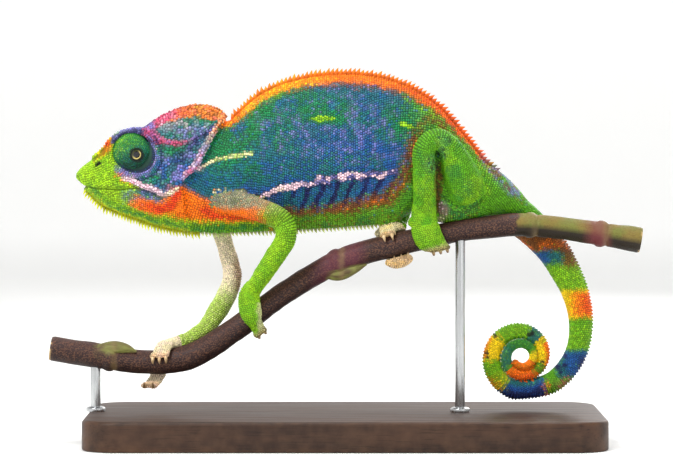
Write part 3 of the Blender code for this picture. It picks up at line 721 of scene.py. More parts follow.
def finish_piece(thing, slot, material, *nodes):
    """Gives a piece its material and ties it to the frame."""
    thing.data.materials.clear()
    thing.data.materials.append(material)
    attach(thing, "root")
    if nodes:
        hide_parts(*nodes)
    return thing


# --- Places on the animal ---


def body_forms(spacing, corners):
    """Every form of flesh as (part, rings, turns of the tail's coil or None)."""
    rows = tail_rows(spacing)
    forms = [("trunk", trunk_rings(spacing, 2 * corners), None), ("head", head_rings(spacing, 2 * corners), None),
             ("tail", tube_rings(rows, corners, TAIL_WIDTH), rows[:, 4])]
    forms += [(name, tube_rings(smooth(path, spacing), corners), None) for name, path in LIMBS.items()]
    forms += [(name, toe_rings(foot, bundle), None) for name, (foot, bundles) in FEET.items() for bundle in bundles]
    return forms + [("turret", lathe_rings(smooth(TURRET, 0.8), way, corners * 2), None) for way in (-1, 1)]


def marks_of(rings):
    """How far each ring is along its form, in millimetres."""
    return np.concatenate([[0], np.cumsum(np.linalg.norm(np.diff(rings, axis=0), axis=2).mean(1))])


def from_turret(points):
    """Distance from the axis of the nearer eye turret, or a large number behind its root."""
    far = np.full(len(points), 1e9)
    for way in (-1, 1):
        middle, axis = turret_frame(way)
        along = (points - middle) @ axis
        radial = np.linalg.norm(points - middle - along[:, None] * axis, axis=1)
        far = np.where((along > -4) & (points[:, 1] * way > 0), np.minimum(far, radial), far)
    return far


class Places:
    """Finds the part of the animal that a point belongs to, and its place on it."""

    def __init__(self):
        columns = []
        for name, rings, turns in body_forms(1.6, 20):
            marks = marks_of(rings)
            rows = np.column_stack([
                np.full(len(rings), PARTS.index(name)), marks / marks[-1],
                np.full(len(rings), -1) if turns is None else turns])
            columns.append(np.column_stack([rings.reshape(-1, 3), np.repeat(rows, rings.shape[1], axis=0)]))
        columns = np.concatenate(columns)
        behind = past_head(columns)
        head, trunk = (columns[:, 3] == PARTS.index(name) for name in ("head", "trunk"))
        columns = columns[~(head & ((behind > 0.4) | (columns[:, 0] > -46.6))) & ~(trunk & (behind < -0.4))]
        self.part = columns[:, 3].astype(int)
        self.along, self.turn = columns[:, 4], columns[:, 5]
        self.tree = tree_of(columns[:, :3])

    def of(self, points):
        nearest = np.array([self.tree.find(point)[1] for point in points])
        part = self.part[nearest]
        head, turret = PARTS.index("head"), PARTS.index("turret")
        part[part == turret] = head
        part[(part == head) & (from_turret(points) < 7.6)] = turret
        return part, self.along[nearest], self.turn[nearest]


# --- Markings ---

LIP_STRIPE = ((-89, 106.6), (-84.8, 104.9), (-80, 103.2), (-75.2, 100.9), (-72, 99.6), (-68.6, 100.2), (-66.6, 101.6))
LIP_SHADE = ((-84, 102.6), (-80, 101.2), (-75.6, 98.9), (-71.4, 97.8))
JAW_FLAME = ((-87, 98.2), (-80, 94.6), (-74, 93), (-69.6, 94.8), (-65.8, 99.6))
SHOULDER_LINE = ((-56, 93), (-50.4, 90.2), (-42, 89), (-32, 88.4))
SHOULDER_TOP = ((-66, 104.5), (-60, 100.5), (-54, 97.2), (-46, 95.6), (-38, 95.4), (-28, 95))
NECK_STRIPE = ((-57.8, 109.6), (-51, 112.9), (-45.5, 114.5), (-40, 115.3), (-36.6, 115.8))
SIDE_STRIPE = ((-42.6, 96.4), (-36.5, 97.8), (-33, 98.4), (-28, 100.8), (-22, 102.2), (-14, 103.4), (-6, 105.2),
               (2, 106.8), (11, 107.4), (21, 108.4))
FLANK_EDGE = ((28.5, 124), (26, 112), (22.5, 104), (16.5, 97.6), (4, 94.4), (-12, 91.4), (-24, 90.6))
RUMP_LINE = ((55, 115), (61.2, 107.2), (66, 102.4), (71, 98))
CASQUE_EDGE = ((-47.2, 131), (-52.4, 122.6), (-56.6, 114.4), (-59.2, 109.8), (-63, 106.4))
CASQUE_STREAK = ((-71, 128), (-64, 130.4), (-56, 130.8), (-50, 129.4))
TEMPLE_SHADE = ((-66, 113.5), (-60, 119), (-54, 125.6))
KNEE_CREASE = ((36.8, 110.5), (36.8, 103), (37.6, 93))
BACK_LINE, BELLY_LINE = [row[:2] for row in TRUNK], [row[2:4] for row in TRUNK]
CROWN_LINE, CHIN_LINE = [row[:2] for row in CROWN], [(row[0], row[2]) for row in HEAD]
TEMPLE_LINE, BROW_LINE = ([row[:2] for row in RIDGES[name]] for name in ("temple", "brow"))
ORANGE_DEPTH = (
    (-50, 2), (-44, 2.8), (-26, 4.4), (-10, 5.2), (2, 5.6), (15, 5.4), (30, 4), (44, 2.6), (56, 1.2), (62, 0.4))

# Dark spots of the tail: pigment, radius, centres.
TAIL_SPOTS = (
    ("navy", 1, ((89.2, 33.8), (88.8, 30.2), (86, 29.6), (86.6, 27.6))),
    ("ink", 0.8, ((60.4, 42.2), (57, 35.4), (57.6, 33.6), (74, 42.2), (75.4, 42.8), (79.4, 32))))


class Hide:
    """The share of each pigment at points of the skin. Each call lays one pigment over those before."""

    def __init__(self, points, places):
        part, self.along, self.turn = places.of(points)
        self.points, self.flat = points, (points[:, 0], points[:, 2])
        self.part = {name: (part == index).astype(float) for index, name in enumerate(PARTS)}
        self.x, self.z = (
            points[:, axis] + 1.5 * (cloud(points, 4.5, seed) - 0.5) + 0.7 * (cloud(points, 0.9, seed + 1) - 0.5)
            for axis, seed in ((0, 1), (2, 3)))
        self.share = np.zeros((len(points), len(PIGMENTS)))
        self.share[:, 0] = 1

    def lay(self, region, *layers):
        """Lays pigments one after the other: each is a pigment and its cover."""
        for name, cover in layers:
            cover = np.clip(region * cover, 0, 1)
            self.share *= (1 - cover)[:, None]
            self.share[:, list(PIGMENTS).index(name)] += cover

    def mottle(self, size, low, high, seed):
        """Patches of about this size in millimetres."""
        return ramp(cloud(self.points, size, seed) * 0.75 + cloud(self.points, 0.8, seed + 5) * 0.25, low, high)

    def oval(self, centre_x, centre_z, reach_x, reach_z, soft=0.35):
        """1 inside an oval, fading out at its edge."""
        return fade(np.hypot((self.x - centre_x) / reach_x, (self.z - centre_z) / reach_z), 1 - soft, 1 + soft)

    def off(self, line):
        """Distance from a line, and the place along it."""
        return to_line(self.x, self.z, line)

    def stroke(self, line, width, soft):
        """1 on a line, fading out at half its width."""
        return fade(self.off(line)[0], (width - soft) / 2, (width + soft) / 2)

    def patches(self, region, *rows):
        """Lays broken ovals: pigment, oval, mottling, cover."""
        for name, oval, mottling, cover in rows:
            self.lay(region, (name, self.oval(*oval) * self.mottle(*mottling) * cover))

    def paint(self):
        for step in (paint_flank, paint_shoulder, paint_stripes, paint_back, paint_cheek, paint_crests, paint_lips,
                     paint_turrets, paint_legs, paint_feet, paint_tail):
            step(self, self.x, self.z, self.lay, self.mottle, self.oval, self.off)
        return self.share


def paint_flank(hide, x, z, lay, mottle, oval, off):
    trunk = hide.part["trunk"]
    ahead = fade(x, 24, 36)
    lay(trunk, ("teal", fade(x + (z - 118) * 0.25, 25, 31)), ("blue", ahead * mottle(1.3, 0.35, 0.75, 10) * 0.45))
    hide.patches(
        trunk * ahead, ("blue", (14, 112, 26, 16, 0.8), (5, 0.25, 0.6, 11), 0.85),
        ("blue", (-28, 104, 16, 9, 0.7), (4, 0.45, 0.7, 12), 0.8),
        ("emerald", (-42, 124, 18, 17, 0.5), (6, 0.22, 0.5, 13), 0.9),
        ("emerald", (-8, 131, 13, 7, 0.6), (4, 0.25, 0.5, 14), 0.8),
        ("emerald", (24, 127, 11, 8, 0.6), (4, 0.2, 0.45, 15), 0.85),
        ("emerald", (-24, 136, 18, 5, 0.6), (5, 0.3, 0.5, 16), 0.8),
        ("violet", (3, 124, 18, 15, 0.8), (2.4, 0.3, 0.8, 17), 0.52),
        ("violet", (-26, 124, 14, 12, 0.8), (2.4, 0.4, 0.85, 18), 0.45))
    edge, _ = off(FLANK_EDGE)
    belly, _ = off(BELLY_LINE)
    # Navy in the folds between the ribs below the side stripe: painted shadow in the folds.
    folds = (fade(z - level(x, SIDE_STRIPE), -2.5, 0) * band(x, -22, 20, 3)
             * ramp(wave(x + (100 - z) * 0.42, 5.4), 0, 0.7))
    under = fade(belly + 0.05 * (x + 10), 3.6, 7) * ramp(x, -32, -24)
    hips = ramp(x + (z - 118) * 0.25, 28.5, 32.5)
    lay(
        trunk, ("emerald", ahead * oval(-12, 111, 26, 6, 0.6) * (0.5 + 0.5 * wave(z - 0.06 * x, 1.9)) * 0.42),
        ("navy", ahead * folds * 0.95), ("leaf", band(x, -26, 34, 2) * ramp(level(x, FLANK_EDGE) - z, -0.6, 1) * 0.9),
        ("leaf", ahead * fade(edge, 1.6, 5) * mottle(1.6, 0.3, 0.7, 18) * 0.5),
        ("brown", fade(x, 30, 36) * fade(edge, 0.8, 5) * mottle(1.2, 0, 0.5, 19) * 0.8),
        ("orange", ahead * fade(edge, 0.2, 2) * mottle(3, 0.45, 0.8, 19) * 0.25), ("leaf", under),
        ("brown", under * 0.22), ("emerald", under * mottle(3.5, 0.4, 0.7, 20) * 0.4),
        ("emerald", hips * mottle(6, 0.42, 0.75, 21) * 0.6), ("lime", hips * mottle(5, 0.5, 0.8, 22) * 0.35),
        ("brown", hips * oval(37, 126, 7, 6, 0.7) * mottle(3, 0.2, 0.6, 23) * 0.6))


def paint_shoulder(hide, x, z, lay, mottle, oval, off):
    """Orange of the throat and shoulder, and the green dewlap below it."""
    over = z - level(x, SHOULDER_TOP)
    belly, _ = off(BELLY_LINE)
    lay(
        hide.part["trunk"] * fade(x, -34, -24), ("orange", fade(over, -2.6, 1.4)),
        ("violet", band(over, 1, 6, 2) * ramp(x, -52, -42) * mottle(1.2, 0.3, 0.7, 26) * 0.3),
        ("cream", band(over, 0.6, 4, 1.6) * ramp(x, -52, -42) * 0.12),
        ("red", hide.stroke(SHOULDER_LINE, 3.2, 2.8) * 0.8), ("lime", fade(belly, 3.4, 6.6) * 0.85),
        ("leaf", fade(belly, 2.2, 4.6) * 0.9), ("emerald", band(belly, 1, 3.4, 1) * mottle(1.4, 0.3, 0.6, 25) * 0.6))


def paint_stripes(hide, x, z, lay, mottle, oval, off):
    """The neck's stripe, the beaded stripe of the side, and two short dashes above it."""
    trunk = hide.part["trunk"]
    far, place = off(SIDE_STRIPE)
    beads = cloud(hide.points, 2.6, 31)
    width = (0.5 + 1.3 * ramp(beads, 0.3, 0.8)) * ramp(place, -0.02, 0.08) * (1 - 0.4 * ramp(place, 0.7, 1))
    stripe = fade(far, width, width + 0.6) * (place < 0.999)
    purple = stripe * ramp(x, -20, -8) * ramp(cloud(hide.points, 2.2, 32), 0.4, 0.52)
    lay(
        trunk, ("cream", hide.stroke(NECK_STRIPE, 1.4, 0.8) * 0.95),
        ("lime", hide.stroke(NECK_STRIPE, 1.4, 0.8) * ramp(x, -56, -50) * 0.4),
        ("pink", oval(-58.5, 109.4, 2.2, 1.3, 0.6) * 0.7),
        ("navy", fade(far, width + 0.6, width + 1.7) * band(x, -34, 20, 3) * 0.6), ("pink", stripe),
        ("violet", purple), ("navy", purple * 0.5),
        ("cream", stripe * fade(x, -30, -20) * ramp(beads, 0.45, 0.6) * 0.5))
    for centre_x, centre_z, tilt, length in ((-9, 129.2, 0.04, 5.6), (24.3, 127.2, -0.42, 2.6)):
        aside = z - centre_z - (x - centre_x) * tilt
        halo = fade(np.hypot((x - centre_x) / (length + 3), aside / 3.4), 0.5, 1.1)
        dash = fade(np.hypot((x - centre_x) / length, aside / 1.15), 0.75, 1.15)
        lay(trunk, ("emerald", halo * 0.7), ("lime", dash), ("leaf", dash * 0.45))


def paint_back(hide, x, z, lay, mottle, oval, off):
    """The orange band along the ridge of the back, and the dull patch at the root of the tail."""
    trunk = hide.part["trunk"]
    far = to_line(*hide.flat, BACK_LINE)[0]
    far = far + 1.2 * (cloud(hide.points, 2, 33) - 0.5) + 0.8 * (cloud(hide.points, 0.8, 34) - 0.5)
    depth = level(x, ORANGE_DEPTH)
    ridge = fade(far, depth * 0.55, depth + 0.5) * fade(x, 53, 59)
    lay(
        trunk, ("brown", fade(far, depth - 0.5, depth + 2.4) * 0.5),
        ("leaf", fade(far, depth - 0.5, depth + 2) * fade(x, -24, -8) * 0.5), ("orange", ridge),
        ("yellow", ridge * band(far, depth * 0.3, depth, 1) * fade(x, -20, 0) * 0.35),
        ("red", ridge * ramp(x, 10, 44) * 0.5), ("red", ridge * fade(x, -44, -38) * 0.35))
    rump = (trunk + hide.part["tail"]) * fade(off(RUMP_LINE)[0], 1.2, 3.8) * ramp(x, 52, 58)
    lay(rump, ("violet", mottle(2.2, 0.35, 0.6, 35) * 0.6), ("brown", mottle(2.2, 0.45, 0.65, 36) * 0.5))


def paint_cheek(hide, x, z, lay, mottle, oval, off):
    head = hide.part["head"]
    lay(head, ("lime", 1), ("leaf", mottle(3.2, 0.42, 0.7, 41) * 0.32))
    lay(
        head * ramp(x + (z - 108) * 0.2, -84.5, -80.5) * ramp(z, 98, 100.4), ("violet", 1),
        ("teal", mottle(2.6, 0.4, 0.52, 42) * 0.85), ("emerald", oval(-72, 117, 11, 2.6, 0.7) * 0.85),
        ("emerald", oval(-77, 105.6, 8, 3.2, 0.6) * mottle(2, 0.3, 0.55, 43) * 0.8),
        ("blue", oval(-68, 108, 9, 7, 0.7) * mottle(2.2, 0.42, 0.6, 44) * 0.75),
        ("navy", hide.stroke(TEMPLE_SHADE, 3.6, 3) * mottle(1.8, 0.3, 0.5, 45) * 0.75))
    lay(
        head * ramp(z - level(x, TEMPLE_LINE), 0, 1.2) * ramp(x, -79, -76.5), ("emerald", 0.75),
        ("teal", mottle(2.4, 0.3, 0.6, 46) * 0.6),
        ("pink", oval(-66, 126.6, 10, 2.6, 0.7) * mottle(2, 0.35, 0.6, 47) * 0.3),
        ("violet", oval(-60, 123.4, 9, 2.8, 0.7) * mottle(2, 0.35, 0.6, 48) * 0.7),
        ("orange", hide.stroke(CASQUE_STREAK, 1.3, 1) * mottle(1.1, 0.25, 0.5, 49) * 0.8))


def paint_crests(hide, x, z, lay, mottle, oval, off):
    """The temple, the crown, the casque's rear edge, and the brow from the snout to behind the eye."""
    head = hide.part["head"]
    edge, place = off(CASQUE_EDGE)
    temple = hide.stroke(TEMPLE_LINE[:4], 2.2, 1.2) * mottle(1.2, 0.1, 0.4, 50)
    lay(head, ("magenta", temple * fade(x, -66, -58) * 0.7))
    lay(
        head * fade(off(CROWN_LINE)[0], 1.9, 3.2) * ramp(x, -80.5, -78.5), ("magenta", 0.9),
        ("pink", mottle(1.2, 0.4, 0.7, 51) * 0.3), ("orange", ramp(x, -70, -64) * 0.72),
        ("brown", ramp(x, -68, -60) * mottle(1.2, 0.35, 0.6, 52) * 0.5), ("yellow", ramp(x, -66, -56) * 0.15))
    lay(
        head * fade(edge, 1.1, 2.3), ("cream", 0.6), ("orange", fade(place, 0.15, 0.5) * 0.6),
        ("brown", fade(place, 0.3, 0.6) * mottle(1.2, 0.4, 0.6, 60) * 0.5), ("pink", ramp(place, 0.45, 0.7) * 0.7),
        ("violet", ramp(place, 0.2, 0.6) * 0.5), ("magenta", ramp(place, 0.4, 0.9) * mottle(1.2, 0.4, 0.6, 53) * 0.6))
    brow, _ = off(BROW_LINE)
    canthus = fade(brow, 1.3, 2.9)
    over = ramp(z, 118.5, 120.5) * ramp(x, -93, -91.4) * fade(x, -77.5, -75)
    behind = x - TURRET_CENTRE[0] - z + TURRET_CENTRE[1]
    ring = fade(from_socket(hide), 9, 10.6) * ramp(behind, -3, 4)
    lay(
        head, ("yellow", canthus * fade(x, -93.6, -91.6) * ramp(x, -101, -97) * 0.5),
        ("orange", canthus * band(x, -96.8, -91.8, 1.6) * 0.6),
        ("red", canthus * oval(-94.6, 119.3, 2, 1.6, 0.6) * 0.8), ("violet", over * 0.9),
        ("navy", over * fade(brow, 1, 2.2) * (0.35 + 0.5 * mottle(1.2, 0.35, 0.6, 40))),
        ("magenta", canthus * ramp(x, -81.5, -78.5) * 0.8), ("violet", canthus * ramp(x, -79, -76) * 0.3),
        ("violet", ring * 0.95), ("pink", ring * mottle(1.6, 0.5, 0.7, 54) * 0.3),
        # Ink round the foot of each turret and navy along the fold's outer groove: painted shadow in the grooves.
        ("ink", fade(from_turret(hide.points), 7.5, 8) * 0.8),
        ("navy", band(from_turret(hide.points), 9.9, 10.8, 0.3) * ramp(behind, -1, 5) * 0.7))


def from_socket(hide):
    return np.hypot(hide.x - TURRET_CENTRE[0] - 0.6, hide.z - TURRET_CENTRE[1] + 0.4)


def paint_lips(hide, x, z, lay, mottle, oval, off):
    head = hide.part["head"]
    jaw = fade(z - level(x, MOUTH), -0.6, 0.4)
    flame, place = off(JAW_FLAME)
    chin, _ = off(CHIN_LINE)
    low = fade(chin, 2.6, 5) * ramp(x, -104, -98)
    stripe, along = off(LIP_STRIPE)
    lip = fade(stripe, 0.7, 1.25) * ramp(along, -0.02, 0.12)
    nostril, _ = to_line(*hide.flat, NOSTRIL)
    lay(
        head, ("teal", jaw * oval(-77, 98.4, 9.5, 4.2, 0.5) * 0.8),
        ("violet", jaw * oval(-79, 98.6, 8, 3.6, 0.6) * mottle(1.6, 0.4, 0.6, 55) * 0.6),
        ("ink", hide.stroke(LIP_SHADE, 1.2, 0.8) * 0.55),
        ("orange", ramp(x, -73, -66) * fade(z, 101, 104) * ramp(z, 87, 91)),
        ("orange", fade(flame, 1.6, 4.2) * ramp(place, 0, 0.25) * 0.95),
        ("red", fade(flame, 0.8, 2.6) * ramp(place, 0.1, 0.5) * 0.9), ("leaf", low * 0.6), ("lime", low * 0.3),
        ("emerald", low * band(chin, 1, 3.4, 0.8) * mottle(1.4, 0.35, 0.6, 56) * 0.5),
        ("yellow", low * fade(chin, 0.4, 1.6) * 0.3),
        ("orange", hide.stroke(LIP_STRIPE, 5, 2) * mottle(1, 0.4, 0.7, 57) * fade(x, -84, -80) * 0.35), ("pink", lip),
        ("cream", lip * ramp(along, 0.7, 0.9) * 0.9), ("magenta", lip * mottle(1, 0.55, 0.7, 58) * 0.35),
        ("ink", fade(nostril, 0.4, 0.9)))


def paint_turrets(hide, x, z, lay, mottle, oval, off):
    middle, axis = turret_frame(-1)
    tip = middle + axis * (TURRET[-2][1] - TURRET_MIDDLE)
    lid = np.hypot(hide.points[:, 0] - tip[0], hide.points[:, 2] - tip[2])
    behind = x - TURRET_CENTRE[0] - z + TURRET_CENTRE[1]
    # The turret is painted lighter and yellower towards its upper left and front, and dark at its bottom and round
    # its lower rear base: painted light and painted shade.
    lay(
        hide.part["turret"], ("emerald", 1),
        ("leaf", oval(-86, 120, 7.5, 4.5, 0.9) * (0.45 + 0.25 * wave(from_socket(hide), 1.25))),
        ("lime", oval(-89, 118, 3, 4, 0.9) * mottle(0.9, 0.4, 0.6, 59) * 0.5),
        ("teal", oval(-82, 112.5, 7.5, 6.5, 0.7) * 0.5), ("ink", ramp(-z + 0.15 * x, -130.5, -122.5) * 0.6),
        ("navy", ramp(from_turret(hide.points), 6, 7.2) * ramp(behind, -4, 5) * 0.8),
        ("ink", fade(lid, 2.5, 3.4) * 0.9))


def paint_legs(hide, x, z, lay, mottle, oval, off):
    along = hide.along + 0.05 * (cloud(hide.points, 2, 61) - 0.5)
    upper, elbow = fade(along, 0.26, 0.36), band(along, 0.26, 0.42, 0.06)
    lay(
        hide.part["foreleg_left"], ("lime", 0.35), ("orange", upper), ("red", upper * fade(z, 87.6, 91.6) * 0.85),
        ("teal", upper * ramp(z, 92.4, 95.2) * 0.8), ("leaf", upper * ramp(z, 92.4, 95.2) * 0.2),
        ("cream", upper * ramp(z, 92, 95) * (0.06 + 0.16 * mottle(1.6, 0.3, 0.6, 62))), ("brown", elbow * 0.3),
        ("cream", elbow * ramp(z, 90, 94) * 0.15), ("lime", ramp(along, 0.42, 0.6) * mottle(3, 0.3, 0.7, 63) * 0.6))
    lay(
        hide.part["foreleg_right"], ("cream", 0.9), ("pink", band(along, 0.2, 0.6, 0.1) * 0.25),
        ("leaf", fade(along, 0.14, 0.3) * 0.7), ("brown", fade(along, 0.1, 0.24) * 0.35),
        ("lime", ramp(along, 0.5, 0.72) * 0.75), ("brown", band(along, 0.35, 0.62, 0.06) * ramp(x, -46, -43) * 0.6))
    lay(
        hide.part["hindleg_left"] + hide.part["hindleg_right"], ("lime", mottle(4, 0.4, 0.7, 64) * 0.4),
        ("emerald", mottle(5, 0.55, 0.8, 65) * fade(along, 0.75, 0.88) * 0.5),
        ("emerald", ramp(along, 0.55, 0.65) * fade(along, 0.84, 0.92) * ramp(wave(along, 1 / 34), 0.2, 0.9) * 0.2))
    # Brown and ink along the crease between thigh and shank: painted shadow in the crease.
    crease_shade = hide.stroke(KNEE_CREASE, 2.4, 2)
    marks = band(cloud(hide.points, 1.5, 66), 0.44, 0.56, 0.05)
    spots = sum(oval(*place, 0.5) for place in (
        (38.8, 120.6, 3, 2.4), (38.4, 115.4, 2.2, 2.4), (33.8, 112, 3, 3.4)))
    lay(
        hide.part["hindleg_left"] + hide.part["trunk"],
        ("brown", crease_shade * 0.7), ("ink", crease_shade * 0.35), ("teal", spots * 0.25), ("ink", spots * marks * 0.8),
        ("pink", oval(39.4, 93, 1.8, 3.2, 0.6) * 0.45), ("brown", oval(39.4, 92.4, 1.6, 3, 0.6) * 0.3))


def paint_feet(hide, x, z, lay, mottle, oval, off):
    tips = ramp(hide.along, 0.8, 0.96)
    for name in FEET:
        fore = "fore" in name
        if name.endswith("left"):
            sole = ramp(x, -35.4, -33.8) if fore else ramp(x - 0.35 * (90 - z), 36, 37.8)
            layers = (("lime", 0.3 + 0.25 * mottle(2.4, 0.35, 0.7, 67)), ("cream", np.maximum(tips, sole) * 0.6),
                      ("brown", tips * 0.6))
        else:
            layers = (("cream", 1), ("pink" if fore else "yellow", mottle(1.8, 0.3, 0.8, 68) * 0.3),
                      ("orange", tips * 0.22), ("brown", tips * mottle(1.2, 0.4, 0.7, 69) * 0.2))
        lay(hide.part[name], *layers)


def paint_tail(hide, x, z, lay, mottle, oval, off):
    tail = hide.part["tail"]
    turn = hide.turn + 0.03 * (cloud(hide.points, 2, 71) - 0.5) + 0.014 * (cloud(hide.points, 0.8, 72) - 0.5)
    coil = tail * (hide.turn >= -0.13)
    hang = tail - coil
    right = ramp(x, 85.5, 90)
    for name, low, high, soft, cover in (
        # The brown band at z 75.6 to 83.6 is the tail's orange-brown, painted darker as painted shade.
        ("emerald", 84, 92, 3, mottle(4, 0.4, 0.7, 73) * 0.5), ("brown", 75.6, 83.6, 1.4, 0.95),
        ("orange", 76.6, 80.6, 1.4, mottle(2.4, 0.3, 0.6, 74) * 0.4), ("teal", 71, 76, 1.6, 0.9 - 0.7 * right),
        ("blue", 70.6, 76, 1.6, fade(x, 79, 84) * 0.9), ("brown", 69.5, 78, 1.8, right * 0.8),
        ("lime", 59, 70, 2.4, 0.45), ("yellow", 49, 60.2, 1.6, 1),
        ("orange", 49.6, 59.6, 1.8, ramp(x, 89, 93.6) * 0.9), ("red", 50, 59, 1.8, ramp(x, 93, 96.6) * 0.6),
        ("lime", 36, 47, 2, 0.3), ("teal", 25.4, 35.6, 1.6, ramp(x, 83.5, 87) * 0.9),
        ("blue", 25.4, 35.2, 1.6, ramp(x, 87, 91) * 0.85), ("navy", 25, 33.6, 1.6, ramp(x, 91.5, 96) * 0.85),
    ):
        lay(hang, (name, band(z, low, high, soft) * cover))
    lay(hang, ("magenta", oval(88.4, 22.4, 4.5, 2.6, 0.7) * 0.4))
    inside = np.hypot(hide.points[:, 0] - COIL_CENTRE[0], hide.points[:, 2] - COIL_CENTRE[1])
    rim = ramp(inside, 12.5, 15.5)
    for name, low, high, cover in (
        ("teal", -0.115, 0.085, 0.9), ("blue", -0.11, 0.075, ramp(inside, 11, 13.5)),
        ("navy", -0.1, 0.07, rim * 0.85), ("orange", -0.128, -0.105, rim * 0.6), ("yellow", 0.085, 0.15, 0.35),
        ("orange", 0.09, 0.15, rim * 0.4), ("lime", 0.14, 0.23, 0.3), ("yellow", 0.23, 0.36, 1),
        ("orange", 0.24, 0.34, rim * 0.85), ("lime", 0.38, 0.55, 0.35), ("teal", 0.55, 0.62, 0.8),
        ("yellow", 0.63, 0.81, 1), ("orange", 0.65, 0.82, ramp(inside, 8.8, 10.8)), ("brown", 0.82, 0.88, 0.35),
        ("orange", 0.88, 1.12, 1), ("red", 0.9, 1.08, ramp(inside, 6.8, 8.6) * 0.35), ("teal", 1.14, 1.38, 0.6),
        ("emerald", 1.34, 1.62, 0.6), ("yellow", 1.68, 1.88, 0.8), ("orange", 1.8, 2.3, 0.9),
    ):
        lay(coil, (name, band(turn, low, high, 0.02) * cover))
    for name, reach, centres in TAIL_SPOTS:
        for centre in centres:
            lay(tail, (name, oval(*centre, reach, reach, 0.4) * 0.9))


def pigment(thing, share):
    for k, name in enumerate(PIGMENTS):
        set_attribute(thing, name, share[:, k])


# --- Skin ---


def ridge_rows(path, grow):
    """A ridge on both sides of the head, or one down the middle, as rows for a sleeve."""
    return [
        smooth([(x, z, way * (y if y else max(head_side(x, z, grow) - 0.25 * radius, 0)), radius)
                for x, z, y, radius in path], 1.4)
        for way in (-1, 1)
    ]


def head_form(grow):
    """The head, cut along the casque's rear edge so that it stands over the neck."""
    head = sleeve("head_form", head_rings(1, 72, grow))
    outline = [(-115, 150), *HEAD_REAR, (-115, 75)]
    tool = sleeve("helper", np.array([[(x, y, z) for x, z in outline] for y in (-60, 60)]))
    apply(head, "BOOLEAN", operation="INTERSECT", solver="EXACT", object=tool)
    bpy.data.objects.remove(tool, do_unlink=True)
    return head


def flesh_forms(grow):
    """Every form of flesh up to the tail's join, as overlapping closed shapes."""
    forms = [sleeve("trunk_form", trunk_rings(1.2, 96, grow, RIDGE_DIP)), head_form(grow)]
    forms += [sleeve("fill", tube_rings(smooth(path, 1.2), 32, flat, grow)) for _, flat, path in FILLS]
    forms += [sleeve("ridge", tube_rings(rows, 12)) for path in RIDGES.values() for rows in ridge_rows(path, grow)]
    forms.append(sleeve("crown", tube_rings(smooth(CROWN, 1.5), 12)))
    root = np.array([(52, 103.6, 1.6, 7, -2), *tail_rows(1)[:int(TAIL_JOIN) + 5]])
    forms.append(sleeve("tail_root_form", tube_rings(root, 48, TAIL_WIDTH, grow)))
    forms += [sleeve("limb", tube_rings(smooth(path, 1.2), 40, 1, grow)) for path in LIMBS.values()]
    for foot, bundles in FEET.values():
        for bundle in bundles:
            forms += [sleeve("toes", toe_rings(foot, bundle, grow)), *fingertips(foot, bundle, grow)]
    # The soft fold round the foot of each eye turret.
    fold = [(7.9 + 1 * math.cos(turn), 5 + 1.5 * math.sin(turn)) for turn in np.linspace(0, 2 * math.pi, 13)]
    return forms + [sleeve("fold", lathe_rings(fold, way, 64, grow * 0.5)) for way in (-1, 1)]


def toe_along(bundle, k):
    """The place of one toe of a bundle along the branch, at the bundle's end."""
    toes, _, lean, toe_width, _, _ = bundle
    return lean[1] + (2 * k + 1 - toes) * toe_width * 0.45


def fingertips(foot, bundle, grow):
    """A rounded tip on each toe."""
    toes, end, _, toe_width, thickness, flare = bundle
    tips = []
    for k in range(toes):
        height = FOOT_GAP + flare + thickness[1] * 0.5
        centre = branch_point(foot[0], toe_along(bundle, k), end - math.copysign(8, end - foot[1]), height)
        deselect()
        bpy.ops.mesh.primitive_uv_sphere_add(
            segments=16, ring_count=10, radius=MM, location=tuple(centre * MM),
            scale=(toe_width * 0.5, toe_width * 0.5, thickness[1] * 0.52 + grow))
        bpy.ops.object.transform_apply(location=True, rotation=True, scale=True)
        tips.append(bpy.context.object)
    return tips


def relief(points, places):
    """How far folds of the skin stand out from it, in millimetres."""
    part, along, _ = places.of(points)
    x, y, z = points.T
    share = {name: (part == index) for index, name in enumerate(PARTS)}
    trunk, head, socket = share["trunk"], share["head"], from_turret(points)
    ribs = ramp(wave(x + (100 - z) * 0.42, 5.4), 0, 0.9) * band(x, -22, 20, 4) * band(z, 93, 103, 2)
    lift = 0.1 * (cloud(points, 3.2, 81) - 0.5)
    lift -= trunk * ribs * (z < level(x, SIDE_STRIPE)) * 0.35
    lift += trunk * fade(to_line(x, z, SIDE_STRIPE)[0], 0.8, 2.2) * 0.3
    lift += trunk * band(x, -70, -40, 5) * fade(z, 96, 108) * 0.16 * wave(x + 0.5 * (z - 90), 3.4)
    lift += trunk * band(x, 24, 34, 2) * band(z, 94, 118, 4) * 0.3 * wave(x + 0.25 * (z - 100), 5)
    lift -= head * fade(to_line(x, z, MOUTH)[0], 0.1, 0.85) * 0.7
    lift += head * band(socket, 7.9, 9.6, 0.5) * 0.5
    lift -= head * band(socket, 10, 10.7, 0.3) * 0.35 * ramp(x - z, -203, -197)
    nostril, _ = to_line(x, z, NOSTRIL)
    lift -= head * (np.abs(y) > 2.5) * (fade(nostril, 0.1, 0.8) * 0.9 - band(nostril, 0.8, 1.5, 0.3) * 0.18)
    lift += head * band(x, -84, -64, 4) * band(z, 88, 98, 2) * 0.2 * wave(z + 0.35 * x, 3.6)
    for name in LIMBS:
        joint = 0.36 if name.startswith("fore") else 0.4
        lift += share[name] * (
            fade(np.abs(along - joint), 0.03, 0.1) * 0.16 * wave(along, 1 / 36)
            + ramp(along, 0.8, 0.88) * 0.14 * wave(along, 1 / 44) + 0.05 * wave(along, 1 / 50))
    return lift


